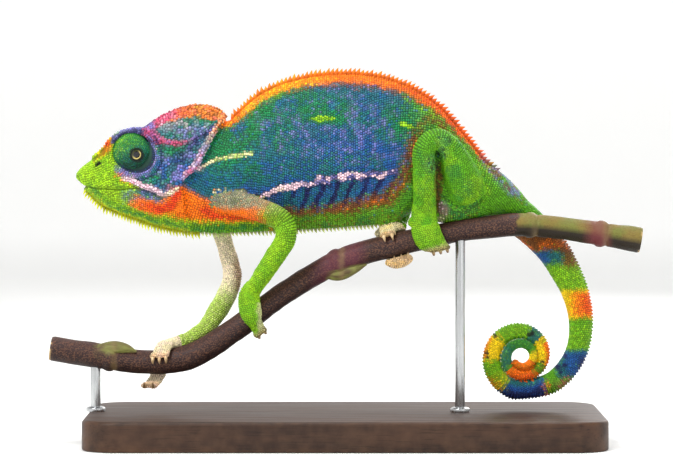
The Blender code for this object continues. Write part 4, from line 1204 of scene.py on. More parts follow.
def clear_of_branch(points, gap):
    """Points moved out of the branch to this distance over its bark, and their height over it before."""
    rows = np.array([
        (*branch_at(x)[0], branch_at(x)[2] + NODE_SWELL * any(abs(x - node) < NODE_REACH for node in NODE_PLACES))
        for x in np.arange(-117, 117, 0.5)])
    tree = tree_of(rows[:, :3])
    nearest = rows[[tree.find(point)[1] for point in points]]
    away = points - nearest[:, :3]
    height = np.linalg.norm(away, axis=1) - nearest[:, 3]
    return points + unit(away) * np.maximum(gap - height, 0)[:, None], height


def build_skin(sizes):
    """One skin: forms of flesh fused and smoothed, the tail joined on, and folds raised in it."""
    grow = -sizes.coat_depth
    body = join("skin", flesh_forms(grow))
    apply(body, "REMESH", mode="VOXEL", voxel_size=sizes.voxel * MM, adaptivity=0)
    apply(body, "SMOOTH", factor=0.5, iterations=5)
    rows = tail_rows(0.8)
    centres = rows[:, (0, 2, 1)]
    first = int(np.searchsorted(run_of(centres), TAIL_JOIN))
    rings = tube_rings(rows, 44, TAIL_WIDTH, grow)[first + 1:]
    tip = rings[-1].mean(0)
    ahead = unit(centres[-1] - centres[-2])
    ends = [tip + ahead * step + (rings[-1] - tip) * size for step, size in ((0.5, 0.86), (0.9, 0.55), (1.05, 0.2))]
    tail = sleeve("tail_form", np.concatenate([rings, ends]), open_start=True)
    cut = Vector(centres[first] * MM)
    with editing(body, "FACE"):
        pick(body, "faces", lambda face: (face.calc_center_median() - cut).length < 12 * MM)
        bpy.ops.mesh.bisect(
            plane_co=cut, plane_no=tuple(unit(centres[first + 1] - centres[first - 1])), clear_outer=True,
            threshold=1e-6)
    skin = join("skin", [body, tail])
    with editing(skin, "EDGE"):
        bpy.ops.mesh.select_non_manifold()
        bpy.ops.mesh.bridge_edge_loops()
        bpy.ops.mesh.select_mode(type="VERT")
        bpy.ops.mesh.select_all(action="DESELECT")
    places = Places()
    normals = np.empty(len(skin.data.vertices) * 3, np.float32)
    points = points_of(skin)
    skin.data.vertices.foreach_get("normal", normals)
    points += normals.reshape(-1, 3) * relief(points, places)[:, None]
    set_points(skin, clear_of_branch(points, FOOT_GAP * 0.6)[0])
    skin = smooth_faces(join("skin", [skin, *(turret_skin(way, grow) for way in (-1, 1))]))
    pigment(skin, Hide(points_of(skin), places).paint())
    flesh = [node for node in frame["nodes"] if not node.startswith(("eye_left", "eye_right", "perch_", "stand_"))]
    return finish_piece(skin, "skin_trunk", hide_material("skin", 0.62), *flesh)


def turret_skin(way, grow):
    """One eye turret: a turned dome with faint rings, and lids that roll in round the eye."""
    rows = smooth(TURRET, 0.35)
    rows[:, 0] += 0.07 * wave(rows[:, 0], 1.25) * ramp(rows[:, 1], 7, 10)
    lids = lathe_rings(((1.95, 14), (1.9, 13.6), (1.9, 12.4)), way, 84)
    return sleeve("turret", np.concatenate([lathe_rings(rows, way, 84, grow), lids]))


# --- Scales ---


def scale_rows(rings, spacing, seed, first=0, last=1, stray=0.12):
    """Staggered rows of places over a sleeve: point, way ahead, along, around, size."""
    marks = marks_of(rings)
    draw = np.random.default_rng(seed)
    place, row = marks[-1] * first, 0
    found = []
    while place < marks[-1] * last:
        size = spacing(place / marks[-1]) if callable(spacing) else spacing
        k = min(int(np.searchsorted(marks, place, side="right")) - 1, len(rings) - 2)
        part = (place - marks[k]) / (marks[k + 1] - marks[k])
        ring = rings[k] + (rings[k + 1] - rings[k]) * part
        ahead = unit(rings[k + 1] - rings[k])
        closed = np.concatenate([ring, ring[:1]])
        turned = run_of(closed)
        count = max(3, round(turned[-1] / size))
        around = (np.arange(count) + 0.5 * (row % 2) + draw.uniform(-stray, stray, count)) / count % 1 * turned[-1]
        index = np.minimum(np.searchsorted(turned, around, side="right") - 1, len(ring) - 1)
        shift = draw.uniform(-stray, stray, count) * size
        point = at_places(around, turned, closed) + ahead[index] * shift[:, None]
        found.append(np.column_stack([point, ahead[index], np.full(count, place), around, np.full(count, size)]))
        place += size * 0.87
        row += 1
    return np.concatenate(found)


def bead_row(rows, size, up):
    """Places of large scales in one row along a ridge."""
    centres = rows[:, (0, 2, 1)]
    marks = run_of(centres)
    places = np.arange(0.3, marks[-1], size * 0.86)
    out = np.array((0, np.sign(centres[1, 1]), up if centres[1, 1] else 1))
    ahead = unit(at_places(places, marks, np.gradient(centres, axis=0)))
    zero = np.zeros(len(places))
    return np.column_stack([at_places(places, marks, centres) + out * 1.2, ahead, places, zero, zero + size])


def settle(found, tree, reach=1.3, fall=None):
    """Drops places onto the skin, straight or by this way of falling, and leaves out those that miss it."""
    kept, rests, normals = [], [], []
    for k, row in enumerate(found):
        rest, place = None, Vector(row[:3])
        if fall is None:
            rest, normal, _, _ = tree.find_nearest(place, reach)
        elif row[1] * fall[1] < 0:
            rest, normal, _, _ = tree.ray_cast(place - Vector(fall) * 9, Vector(fall), 15)
        if rest is not None:
            kept.append(k)
            rests.append(rest)
            normals.append(normal)
    return found[kept], np.array(rests), np.array(normals)


def thin(points, sizes):
    """Leaves out places that crowd an earlier one."""
    tree = tree_of(points)
    keep = np.ones(len(points), bool)
    for k, point in enumerate(points):
        if keep[k]:
            for _, other, _ in tree.find_range(point, sizes[k] * 0.62):
                if other > k:
                    keep[other] = False
    return keep


def shells(name, slot, points, sides, share, tone, tops, roots, patch, roughness, gap=0.24):
    """One mesh of many like shells of stacked rings, closed on top. Each has its pigments and tone, how high
    each ring stands, and on the OFBake map a small patch at its root's place."""
    count, each = points.shape[:2]
    corners = [(low + k, low + (k + 1) % sides, low + sides + (k + 1) % sides, low + sides + k)
               for low in range(0, each - sides, sides) for k in range(sides)]
    template = np.concatenate([np.array(corners).ravel(), np.arange(each - sides, each)])
    loops = (template[None] + np.arange(count)[:, None] * each).ravel()
    coat = mesh_of(name, points.reshape(-1, 3), loops, np.tile([4] * len(corners) + [sides], count))
    pigment(coat, np.repeat(share, each, axis=0))
    set_attribute(coat, "scale_tone", np.repeat(tone, each))
    set_attribute(coat, "scale_top", np.tile(np.repeat(tops, sides), count))
    layer = coat.data.uv_layers.new(name="OFBake")
    layer.data.foreach_set("uv", (roots[:, None] + patch)[:, template].astype(np.float32).ravel())
    # gap is how dark each shell is painted at its lowest ring, and scale_top carries where that painted shade fades
    # out.
    return finish_piece(coat, slot, hide_material(name, roughness, gap))


SCALE_SIDES = 6
PATCH_REACH = 0.0015


def circle(turn, size):
    """Points round a circle on the baking map."""
    return np.stack([np.cos(turn), np.sin(turn)], axis=-1) * size * PATCH_REACH


def spread(centres, *ways):
    """A ring of points round each centre, from ways and how far each point lies along them."""
    return centres[:, None] + sum(way[:, None] * reach[..., None] for way, reach in ways)


def scales(name, slot, found, rests, normals, height, places, top, seed, lean_to, gap):
    """One mesh of low domes, each turned to the lie of the skin."""
    draw = np.random.default_rng(seed)
    count = len(found)
    ahead = unit(found[:, 3:6] - normals * np.sum(found[:, 3:6] * normals, axis=1)[:, None])
    across = np.cross(normals, ahead)
    size = found[:, 8] * 0.56 * draw.uniform(0.88, 1.12, count)
    size = np.where(draw.uniform(0, 1, count) > 0.95, size * 1.25, size)
    rise = height * (found[:, 8] / found[:, 8].mean()) * draw.uniform(0.8, 1.15, count)
    turn = round_turns(SCALE_SIDES) + draw.uniform(-0.15, 0.15, (count, 1))
    rings = []
    for share, raised, lean in ((1, False, 0), (top, True, 0.16)):
        forward = np.cos(turn) * share + lean
        up = rise[:, None] * (1 + 0.22 * forward) if raised else np.full(turn.shape, -0.14)
        rings.append(spread(rests, (ahead, forward * size[:, None]),
                            (across, np.sin(turn) * share * size[:, None]), (normals, up)))
    # Each scale leans to one of the pigments at its place, as on real skin.
    share = Hide(rests, places).paint()
    chosen = (np.cumsum(share, axis=1) > draw.uniform(0, 0.999, (count, 1))).argmax(axis=1)
    share = (1 - lean_to) * share + lean_to * np.eye(len(PIGMENTS))[chosen]
    low, high = found[:, 6:8].min(0), found[:, 6:8].max(0)
    roots = 0.01 + 0.98 * (found[:, 6:8] - low) / np.maximum(high - low, 1e-6)
    return shells(
        name, slot, np.concatenate(rings, axis=1), SCALE_SIDES, share, draw.uniform(0, 1, count) ** 1.4, (0, 1),
        roots, np.concatenate([circle(turn, 1), circle(turn, top)], axis=1), 0.42, gap)


def stacked(groups):
    """Puts the unrolled skins of several forms side by side, so that their patches don't meet."""
    offset, found = 0, []
    for group in groups:
        group = group.copy()
        group[:, 7] += offset
        offset = group[:, 7].max() + 2
        found.append(group)
    return np.concatenate(found)


def past_head(points):
    """How far points lie behind the head's rear edge."""
    return points[:, 0] - level(-points[:, 2], [(-z, x) for x, z in HEAD_REAR])


def plated(points):
    """Where the large plates of the cheek and the casque lie."""
    return (points[:, 0] > -84) & (points[:, 2] > level(points[:, 0], MOUTH) + 2.6) & (past_head(points) < 0.6)


def small_scaled(points):
    """The face but for the mouth, the nostrils, the plates and the inside of the lids."""
    mouth, nostril = (to_line(points[:, 0], points[:, 2], line)[0] for line in (MOUTH, NOSTRIL))
    return (~plated(points) & (past_head(points) < 0.6) & (mouth > 0.42) & (from_turret(points) > 9.8)
            & ((nostril > 0.6) | (np.abs(points[:, 1]) < 2.5)))


def off_the_flanks(points):
    """Where no scale of the flanks lies near."""
    sides = [points_of(bpy.data.objects[f"coat_flank_{side}"])[::SCALE_SIDES * 2] for side in ("left", "right")]
    tree = tree_of(np.concatenate(sides))
    return np.array([tree.find(point)[2] > 0.75 for point in points])


def filled(word, spacing, corners, seed, grow):
    """Rows of scales over the fills of the parts whose name has this word."""
    return [scale_rows(tube_rings(smooth(path, 1), corners, flat, grow), spacing, seed)
            for part, flat, path in FILLS if word in part]


def build_coat(sizes):
    """The coat, piece by piece: where its scales stand, and how high and broad on top."""
    skin = bpy.data.objects["skin"]
    tree = BVHTree.FromPolygons([tuple(point) for point in points_of(skin)],
                                [tuple(face.vertices) for face in skin.data.polygons])
    places = Places()
    grow = -sizes.coat_depth

    # gap is how dark each scale is painted at its root, as painted shade between scales.
    def region(name, slot, groups, height, seed, keep=None, top=0.6, near=1.3, lean=0.35, gap=0.24, settled=None):
        found, rests, normals = settled or settle(stacked(groups), tree, near)
        chosen = thin(rests, found[:, 8])
        if keep is not None:
            chosen &= keep(rests)
        scales(name, slot, found[chosen], rests[chosen], normals[chosen], height, places, top, seed, lean, gap)

    trunk = scale_rows(trunk_rings(1.2, 160, grow, RIDGE_DIP), sizes.flank_scale, 1)
    for name, way in (("coat_flank_left", -1), ("coat_flank_right", 1)):
        region(name, "skin_trunk", [trunk[trunk[:, 1] * way > 0]], 0.3, 11 + way,
               lambda points: past_head(points) > -0.2, lean=0.42)
    head = head_rings(1, 160, grow)
    middle = float(np.interp(-84, head[:, 0, 0], marks_of(head) / marks_of(head)[-1]))
    region("coat_casque", "skin_head", [scale_rows(head, sizes.head_scale, 3, middle, 1, 0.26)], 0.34, 21,
           lambda points: plated(points) & (from_turret(points) > 10), top=0.66, near=2.6, lean=0.22)
    region("coat_face", "skin_head", [scale_rows(head, sizes.face_scale, 2)], 0.24, 22, small_scaled, near=2.6)
    lids = []
    for way in (-1, 1):
        disc = lathe_rings([(radius, 8) for radius in np.arange(7.25, 11.2, 0.3)], way, 96)
        lids.append(settle(scale_rows(disc, 0.8, 8), tree, fall=-turret_frame(way)[1]))
    region("coat_sockets", "skin_head", None, 0.26, 27, lambda points: np.abs(from_turret(points) - 8.65) < 1.45,
           settled=[np.concatenate(columns) for columns in zip(*lids)])
    beads = (("brow", 1.5, 1.4), ("temple", 1.1, 0.3), ("casque_edge", 1.25, 0.3), ("crown", 1.25, 0.3))
    lines = [bead_row(rows, size, up) for name, size, up in beads
             for rows in ridge_rows({**RIDGES, "crown": CROWN}[name], grow)]
    region("coat_ridges", "skin_head", lines, 0.55, 28, top=0.5, near=3)
    domes = [
        scale_rows(lathe_rings(smooth(TURRET[:-1], 0.3), way, 96, grow), lambda part: 1.02 - 0.42 * part, 4, 0.02, 0.985)
        for way in (-1, 1)]
    region("coat_turrets", "eye_skin", domes, 0.2, 23, top=0.66)
    region("coat_hips", "skin_hind", filled("trunk", sizes.limb_scale, 72, 9, grow), 0.28, 29, off_the_flanks)
    tail = tube_rings(tail_rows(0.8), 72, TAIL_WIDTH, grow)
    region("coat_tail", "skin_tail", [scale_rows(tail, lambda part: sizes.tail_scale * (1 - 0.42 * part ** 1.4), 5)],
           0.27, 24)
    limbs = [scale_rows(tube_rings(smooth(path, 1), 64, 1, grow), sizes.limb_scale, 6) for path in LIMBS.values()]
    region("coat_legs", "skin_limb", limbs + filled("leg", sizes.limb_scale, 48, 10, grow), 0.26, 25, lean=0.16,
           near=0.8, gap=0.42)
    toes = [scale_rows(toe_rings(foot, bundle, grow), sizes.foot_scale, 7)
            for foot, bundles in FEET.values() for bundle in bundles]
    region("coat_feet", "skin_foot", filled("foot", sizes.foot_scale, 48, 10, grow) + toes, 0.2, 26,
           lambda points: clear_of_branch(points, 0)[1] > 0.75, lean=0.08, gap=0.6)


# --- Crests ---

SPINE_SIDES = 8
SPINE_RINGS = ((-0.9, 1.05, 0), (0.2, 1, 0.3), (0.5, 0.66, 0.7), (0.8, 0.32, 0.9), (1, 0.06, 1))


def spines(name, slot, line, size, places, lean=0.35, colours_of=None, taper=1):
    """Pointed scales in a row along a line of (point, outward), each a curved cone set into the skin."""
    spacing, height, half_width = size
    points, outs = (np.array(column) for column in zip(*line))
    marks = run_of(points)
    teeth = int(marks[-1] / spacing)
    at = (np.arange(teeth) + 0.5) / teeth * marks[-1]
    shrink = np.interp(np.arange(teeth), (0, teeth), (1, taper))
    heights = height * (0.8 + 0.36 * np.random.default_rng(12).uniform(0, 1, teeth)) * shrink
    roots = at_places(at, marks, points)
    ahead = unit(at_places(at, marks, np.gradient(points, marks, axis=0)))
    out = unit(at_places(at, marks, outs))
    out = unit(out - ahead * np.sum(ahead * out, axis=1)[:, None])
    across = np.cross(out, ahead)
    turn = round_turns(SPINE_SIDES)
    rings = []
    for up, share, _ in SPINE_RINGS:
        centre = roots + out * (heights * up)[:, None] + ahead * (heights * lean * max(up, 0) ** 2)[:, None]
        wide_here = (shrink * half_width * share)[:, None]
        rings.append(spread(centre, (ahead, np.cos(turn) * wide_here * 1.15), (across, np.sin(turn) * wide_here)))
    if colours_of is None:
        share = Hide(roots, places).paint()
    else:
        share = np.tile([colours_of.get(key, 0) for key in PIGMENTS], (teeth, 1))
    tone = np.random.default_rng(9).uniform(0.3, 1, teeth)
    unrolled = np.column_stack([0.02 + 0.96 * (np.arange(teeth) + 0.5) / teeth, np.full(teeth, 0.5)])
    patch = np.concatenate([circle(turn, share_here) for _, share_here, _ in SPINE_RINGS])
    # Each spine is painted darker at its root, as painted shade, through the gap of shells.
    return shells(name, slot, np.concatenate(rings, axis=1), SPINE_SIDES, share, tone,
                  [top for _, _, top in SPINE_RINGS], unrolled, patch, 0.5)


def edge_line(rings, dorsal, first_x, last_x):
    """The ridge of some cross-sections as (point, outward), between two values of x."""
    ends = [(ring[0], ring[len(ring) // 2])[::1 if dorsal else -1] for ring in rings]
    return [(point, unit(point - other)) for point, other in ends if first_x <= point[0] <= last_x]


def build_crests(sizes):
    """The crests of the back, the chin, the belly and the outer side of the tail."""
    places = Places()
    trunk = trunk_rings(1.2, 32, -0.1, RIDGE_DIP)
    head = head_rings(1, 32, -0.1)
    spines("crest_dorsal", "skin_trunk", edge_line(trunk, True, -45.6, 60.5), DORSAL_CREST, places)
    spines("crest_gular", "skin_head", edge_line(head, False, -104, -58), GULAR_CREST, places, 0.3,
           {"yellow": 0.4, "lime": 0.6})
    spines("crest_ventral", "skin_trunk", edge_line(trunk, False, -66, 22), VENTRAL_CREST, places, 0.3,
           {"cream": 0.5, "lime": 0.5})
    rows = tail_rows(0.8)
    line = []
    for row, ring in zip(rows, tube_rings(rows, 32, TAIL_WIDTH, -0.15)):
        centre = ring.mean(0)
        # The tail's own back is on its outer side, away from the coil's centre.
        away = unit(centre - np.array((COIL_CENTRE[0], centre[1], COIL_CENTRE[1] + 8 * (row[4] < -0.13))))
        best = ring[np.argmax((ring - centre) @ away)]
        line.append((best, unit(best - centre)))
    spines("crest_tail", "skin_tail", line[int(len(line) * 0.04):int(len(line) * 0.9)], TAIL_CREST, places, taper=0.5)


# --- Eyes and claws ---


def build_eyes(sizes):
    """Eyeballs behind the lids, with a low cornea over the pupil."""
    for way, side in ((-1, "left"), (1, "right")):
        middle, axis = turret_frame(way)
        centre = middle + axis * (EYE_FRONT - TURRET_MIDDLE - EYE_RADIUS)
        deselect()
        bpy.ops.mesh.primitive_uv_sphere_add(segments=48, ring_count=32, radius=EYE_RADIUS * MM)
        eye = bpy.context.object
        eye.name = eye.data.name = f"eyeball_{side}"
        turn = Vector((0, 0, 1)).rotation_difference(Vector(axis)).to_matrix()
        points = points_of(eye)
        ahead = points[:, 2] / EYE_RADIUS
        points[:, 2] += 0.22 * ramp(ahead, 0.86, 1)
        from_axis = np.hypot(points[:, 0], points[:, 1])
        turned = points @ np.array(turn).T
        set_points(eye, turned + centre)
        set_attribute(eye, "from_axis", np.where(ahead > 0, from_axis, EYE_RADIUS))
        turned -= axis * (turned @ axis)[:, None]
        # The ring is painted lighter towards the lower right and darker towards the upper left: painted light and
        # painted shade of the lid.
        set_attribute(eye, "iris_low", ramp((turned[:, 0] - turned[:, 2]) / np.maximum(from_axis, 0.2), -0.9, 1))
        smooth_faces(eye)
        finish_piece(eye, "eye", eye_material(), f"eye_{side}")


def claw_rings(foot, bundle, k):
    """Cross-sections of one claw, bent down past the end of its toe."""
    _, end, _, _, thickness, flare = bundle
    rings = []
    for turn, middle, radius in smooth(CLAW, 5):
        rings.append([
            branch_point(
                foot[0], toe_along(bundle, k) + radius * 0.8 * math.cos(side), end + math.copysign(1, end) * turn,
                FOOT_GAP + flare + thickness[1] * middle + radius * math.sin(side))
            for side in round_turns(10)
        ])
    tip, before = np.mean(rings[-1], axis=0), np.mean(rings[-2], axis=0)
    rings.append([tip + (tip - before) * 0.25 + (point - tip) * 0.25 for point in np.array(rings[-1])])
    return np.array(rings)


def build_claws(sizes):
    """A claw on every toe, darker on the near feet."""
    claws = []
    for name, (foot, bundles) in FEET.items():
        for rings in (claw_rings(foot, bundle, k) for bundle in bundles for k in range(bundle[0])):
            claw = sleeve("claw", rings)
            reach = np.linalg.norm(points_of(claw) - rings[0].mean(0), axis=1)
            set_attribute(claw, "claw_tip", reach / (0.42 * len(rings)) + 0.5 * name.endswith("left"))
            claws.append(claw)
    finish_piece(smooth_faces(join("claws", claws)), "skin_foot", claw_material())


# --- Branch and stand ---


def build_branch(sizes):
    """The perch, with swollen rings, bud scales and sawn ends."""
    last = BRANCH[-1][0]
    rows = []
    for x in np.linspace(-last, last, round(2 * last / sizes.bark_step) + 1):
        centre, _, radius = branch_at(x)
        radius += sum(NODE_SWELL * math.exp(-((x - node) / (NODE_REACH * 0.75)) ** 4)
                      - 0.3 * math.exp(-((x - node - NODE_REACH * 1.15) / 0.5) ** 2) for node in NODE_PLACES)
        rows.append((centre[0], centre[2], centre[1], radius))
    rings = tube_rings(rows, 44)
    flat = rings.reshape(-1, 3)
    out = unit(flat - np.repeat(rings.mean(1), 44, axis=0))
    bumps = 0.26 * (cloud(flat * (0.35, 1, 1), 1.6, 91) - 0.5) + 0.34 * (cloud(flat, 7, 92) - 0.5) - 0.06
    rings = (flat + out * bumps[:, None]).reshape(rings.shape)
    for end in (0, -1):
        centre = rings[end].mean(0)
        rings[end] = centre + (rings[end] - centre) * 0.94
    branch = sleeve("branch", rings)
    with editing(branch, "FACE"):
        pick(branch, "faces", lambda face: len(face.verts) > 20)
        for thickness in (0.5, 1.3, 1.3):
            bpy.ops.mesh.inset(thickness=thickness * MM, depth=0)
    for bud in BUDS:
        scale = sleeve("bud", tube_rings(smooth(bud, 0.7), 32, 0.92, -0.05))
        points = points_of(scale)
        points[:, 1] -= 0.3 * (cloud(points * (0.25, 1, 1), 1.1, 93) - 0.5)
        set_points(scale, points)
        apply(branch, "BOOLEAN", operation="UNION", solver="EXACT", object=scale)
        bpy.data.objects.remove(scale)
    points = points_of(branch)
    centres, ways, radii = (np.array(column) for column in zip(*(branch_at(x) for x in np.clip(
        points[:, 0], -last, last - 0.2))))
    away = points - centres
    across = np.linalg.norm(away - ways * np.sum(away * ways, axis=1)[:, None], axis=1)
    bud_cover = np.max([
        fade(np.linalg.norm(points - (x, y, z), axis=1), radius + 0.25, radius + 0.9)
        for bud in BUDS for x, z, y, radius in smooth(bud, 1)], axis=0)
    set_attribute(branch, "bud", bud_cover * ramp(np.linalg.norm(away, axis=1) - radii, -0.2, 0.5))
    # How far up the bark faces, used for painted light on top and painted shade below.
    set_attribute(branch, "bark_top", away[:, 2] / radii)
    set_attribute(branch, "cut_end", (np.abs(points[:, 0]) > last - 0.9) & (across < radii * 0.93))
    set_attribute(branch, "node_ring", np.max([
        fade(np.abs(points[:, 0] - node - 1.6), 0.5, 1.6) for node in NODE_PLACES], axis=0))
    smooth_faces(branch, 42)
    finish_piece(branch, "bark", bark_material(), "perch_branch")


def primitive(kind, name, **settings):
    """A new primitive with its place and size in its mesh."""
    deselect()
    getattr(bpy.ops.mesh, f"primitive_{kind}_add")(**settings)
    bpy.ops.object.transform_apply(location=True, rotation=True, scale=True)
    thing = bpy.context.object
    thing.name = thing.data.name = name
    return thing


def build_base(sizes):
    """A block with rounded corners, a soft upper edge and a shallow step round its foot."""
    length, width, height = BASE_SIZE
    base = primitive("cube", "base", size=MM, location=(0, 0, height / 2 * MM), scale=(length, width, height))
    with editing(base, "EDGE"):
        for test, offset, segments in (
            (lambda low, high: high - low > height / 2 * MM, BASE_CORNER, 12),
            (lambda low, high: low > (height - 0.01) * MM, sizes.base_edge, 4),
            (lambda low, high: high < 0.01 * MM, BASE_STEP, 2),
        ):
            pick(base, "edges", lambda edge: test(*sorted(vert.co.z for vert in edge.verts)))
            bpy.ops.mesh.bevel(offset=offset * MM, offset_type="OFFSET", segments=segments, profile=0.5)
    smooth_faces(base, 35)
    finish_piece(base, "stand_wood", wood_material(), "stand_base")


def build_rods(sizes):
    """Two steel rods, each with a turned collar where it enters the base."""
    top = BASE_SIZE[2]
    for name, x in ROD_PLACES.items():
        centre, _, _ = branch_at(x)
        foot, head = top - ROD_IN_BASE, centre[2] + ROD_IN_BRANCH
        rod = primitive("cylinder", "rod", vertices=40, radius=ROD_RADIUS * MM, depth=(head - foot) * MM,
                        location=(x * MM, centre[1] * MM, (foot + head) / 2 * MM))
        with editing(rod, "EDGE"):
            pick(rod, "edges", lambda edge: abs(edge.verts[0].co.z - edge.verts[1].co.z) < 1e-5)
            bpy.ops.mesh.bevel(offset=0.25 * MM, offset_type="OFFSET", segments=3)
        collar = primitive("cylinder", "collar", vertices=48, radius=(ROD_RADIUS + 1.9) * MM, depth=1.5 * MM,
                           location=(x * MM, centre[1] * MM, (top + 0.7) * MM))
        with editing(collar, "FACE"):
            pick(collar, "faces", lambda face: face.normal.z > 0.9)
            bpy.ops.mesh.inset(thickness=0.9 * MM, depth=0.5 * MM)
        apply(collar, "BEVEL", width=0.18 * MM, segments=2, limit_method="ANGLE")
        rod = smooth_faces(join("rod_" + name.rsplit("_", 1)[1], [rod, collar]), 35)
        finish_piece(rod, "stand_steel", steel_material(), name)


# --- Stage ---

VIEW_WIDTH = 0.2692  # metres across the view at the animal
VIEW_CENTRE = (-0.0034, 0, 0.086)
VIEW_DISTANCE, SENSOR = 1.3, 36
VIEW_RISE = math.radians(2)
LIGHTS = {  # place, size, power
    "key": ((-0.55, -0.75, 0.95), 0.35, 11.5),
    "fill": ((0.8, -0.9, 0.3), 0.8, 1),
    "top": ((0.05, 0.1, 1.1), 0.6, 8),
    "rim": ((0.4, 0.75, 0.5), 0.5, 3.5),
}
FLOOR_REACH, WALL_CURVE = 2500, 800


def build_stage(sizes):
    """A pale floor that rises all round into a wall, soft lights, and a camera from the animal's left."""
    scene = bpy.context.scene
    wall = FLOOR_REACH + WALL_CURVE
    profile = [(wall, 2600), (wall, 1500)]
    profile += [(FLOOR_REACH + WALL_CURVE * math.cos(turn), WALL_CURVE * (1 - math.sin(turn)))
                for turn in np.linspace(0, math.pi / 2, 10)]
    profile += [(radius, 0) for radius in range(2200, 100, -300)]
    up = np.array((0, 0, 1))
    floor = sleeve("studio_floor", np.array([round_ring(up * z, up, radius, 96) for radius, z in profile]), True)
    points = points_of(floor)
    away = np.hypot(points[:, 0], points[:, 1])
    set_attribute(floor, "glow", ramp(away, 400, 2300) * 0.3 + ramp(points[:, 2], 0, 600) * 0.14)
    floor.data.materials.append(studio_material())
    smooth_faces(floor)
    scene.world = bpy.data.worlds.new("studio")
    scene.world.use_nodes = True
    sky = scene.world.node_tree.nodes["Background"]
    sky.inputs["Color"].default_value = (1, 1, 1, 1)
    sky.inputs["Strength"].default_value = 0.3
    for name, (place, size, power) in LIGHTS.items():
        bpy.ops.object.light_add(type="AREA", location=place)
        light = bpy.context.object
        light.name, light.data.shape, light.data.size, light.data.energy = f"light_{name}", "DISK", size, power
        light.rotation_euler = (Vector(VIEW_CENTRE) - Vector(place)).to_track_quat("-Z", "Y").to_euler()
    back = Vector((0, -math.cos(VIEW_RISE), math.sin(VIEW_RISE))) * VIEW_DISTANCE
    bpy.ops.object.camera_add(location=Vector(VIEW_CENTRE) + back, rotation=(math.radians(90) - VIEW_RISE, 0, 0))
    scene.camera = bpy.context.object
    camera = scene.camera.data
    camera.sensor_width = SENSOR
    camera.lens = SENSOR * VIEW_DISTANCE / VIEW_WIDTH
    camera.clip_end = 20
    scene.view_settings.view_transform = "Standard"


# --- Materials ---


def paint(*values):
    """A colour for a socket, from the usual 0 to 255."""
    return (*shade(*values), 1)


def chosen(name):
    """A colour for a socket, from the panel."""
    return (*getattr(bpy.context.scene.chameleon_colours, name), 1)


class Graph:
    """Places and links nodes in a material or a group."""

    def __init__(self, tree, material=None):
        self.tree, self.material = tree, material

    def add(self, kind, inputs=None, **settings):
        node = self.tree.nodes.new("ShaderNode" + kind)
        for key, value in settings.items():
            setattr(node, key, value)
        for key, value in (inputs or {}).items():
            self.put(node.inputs[key], value)
        return node

    def put(self, socket, value):
        if isinstance(value, bpy.types.NodeSocket):
            self.tree.links.new(value, socket)
        else:
            socket.default_value = value

    def objects(self, stretch=None):
        """The place on the piece, or the same drawn out for a grain."""
        place = self.add("TexCoord").outputs["Object"]
        return self.add("Mapping", {"Vector": place, "Scale": stretch}).outputs["Vector"] if stretch else place

    def noise(self, scale, detail=3, stretch=None, roughness=0.5):
        return self.add("TexNoise", {
            "Scale": scale, "Detail": detail, "Roughness": roughness, "Vector": self.objects(stretch),
        }).outputs["Fac"]

    def attribute(self, name):
        return self.add("Attribute", attribute_name=name).outputs["Fac"]

    def span(self, value, low, high, to_low=0, to_high=1):
        return self.add("MapRange", {
            "Value": value, "From Min": low, "From Max": high, "To Min": to_low, "To Max": to_high,
        }).outputs["Result"]

    def maths(self, operation, first, second):
        return self.add("Math", {0: first, 1: second}, operation=operation).outputs[0]

    def times(self, first, second):
        return self.maths("MULTIPLY", first, second)

    def plus(self, first, second):
        return self.maths("ADD", first, second)

    def layers(self, colour, *over):
        """Lays colours over the first, each as (cover, colour)."""
        for cover, upper in over:
            node = self.add("Mix", data_type="RGBA", clamp_factor=True)
            for index, value in ((0, cover), (6, colour), (7, upper)):
                self.put(node.inputs[index], value)
            colour = node.outputs[2]
        return colour

    def group(self, tree, inputs):
        return self.add("Group", inputs, node_tree=tree).outputs

    def surface(self, colour, rough, height, millimetres, strength, specular=0.5, plain=None):
        """Links colour, roughness and bump to the shader, and sets its plain values."""
        bump = self.add("Bump", {"Height": height, "Distance": millimetres * MM, "Strength": strength})
        shader = self.tree.nodes["Principled BSDF"]
        for key, value in {"Base Color": colour, "Roughness": rough, "Normal": bump.outputs["Normal"],
                           "Specular IOR Level": specular, **(plain or {})}.items():
            self.put(shader.inputs[key], value)
        return self.material


def shared(name, inputs, outputs):
    """A shader group with these inputs and outputs, and its graph where it still has to be filled."""
    made = bpy.data.node_groups.get(name)
    if made:
        return made, None, None, None
    tree = bpy.data.node_groups.new(name, "ShaderNodeTree")
    kinds = {True: "NodeSocketColor", False: "NodeSocketFloat"}
    for label, default in inputs.items():
        socket = tree.interface.new_socket(label, in_out="INPUT", socket_type=kinds[isinstance(default, tuple)])
        socket.default_value = default
    for label in outputs:
        tree.interface.new_socket(label, in_out="OUTPUT", socket_type=kinds[label == "Colour"])
    return tree, Graph(tree), tree.nodes.new("NodeGroupInput").outputs, tree.nodes.new("NodeGroupOutput").inputs


def markings_group():
    """Mixes the pigments by their shares at each point."""
    tree, graph, start, end = shared(
        "Markings", {label: (*default, 1) for label, _, default in PIGMENTS.values()}, ["Colour"])
    if graph:
        total = (0, 0, 0)
        for name, (label, _, _) in PIGMENTS.items():
            total = graph.add("VectorMath", {0: start[label], 1: graph.attribute(name), 2: total},
                              operation="MULTIPLY_ADD").outputs[0]
        graph.put(end["Colour"], total)
    return tree


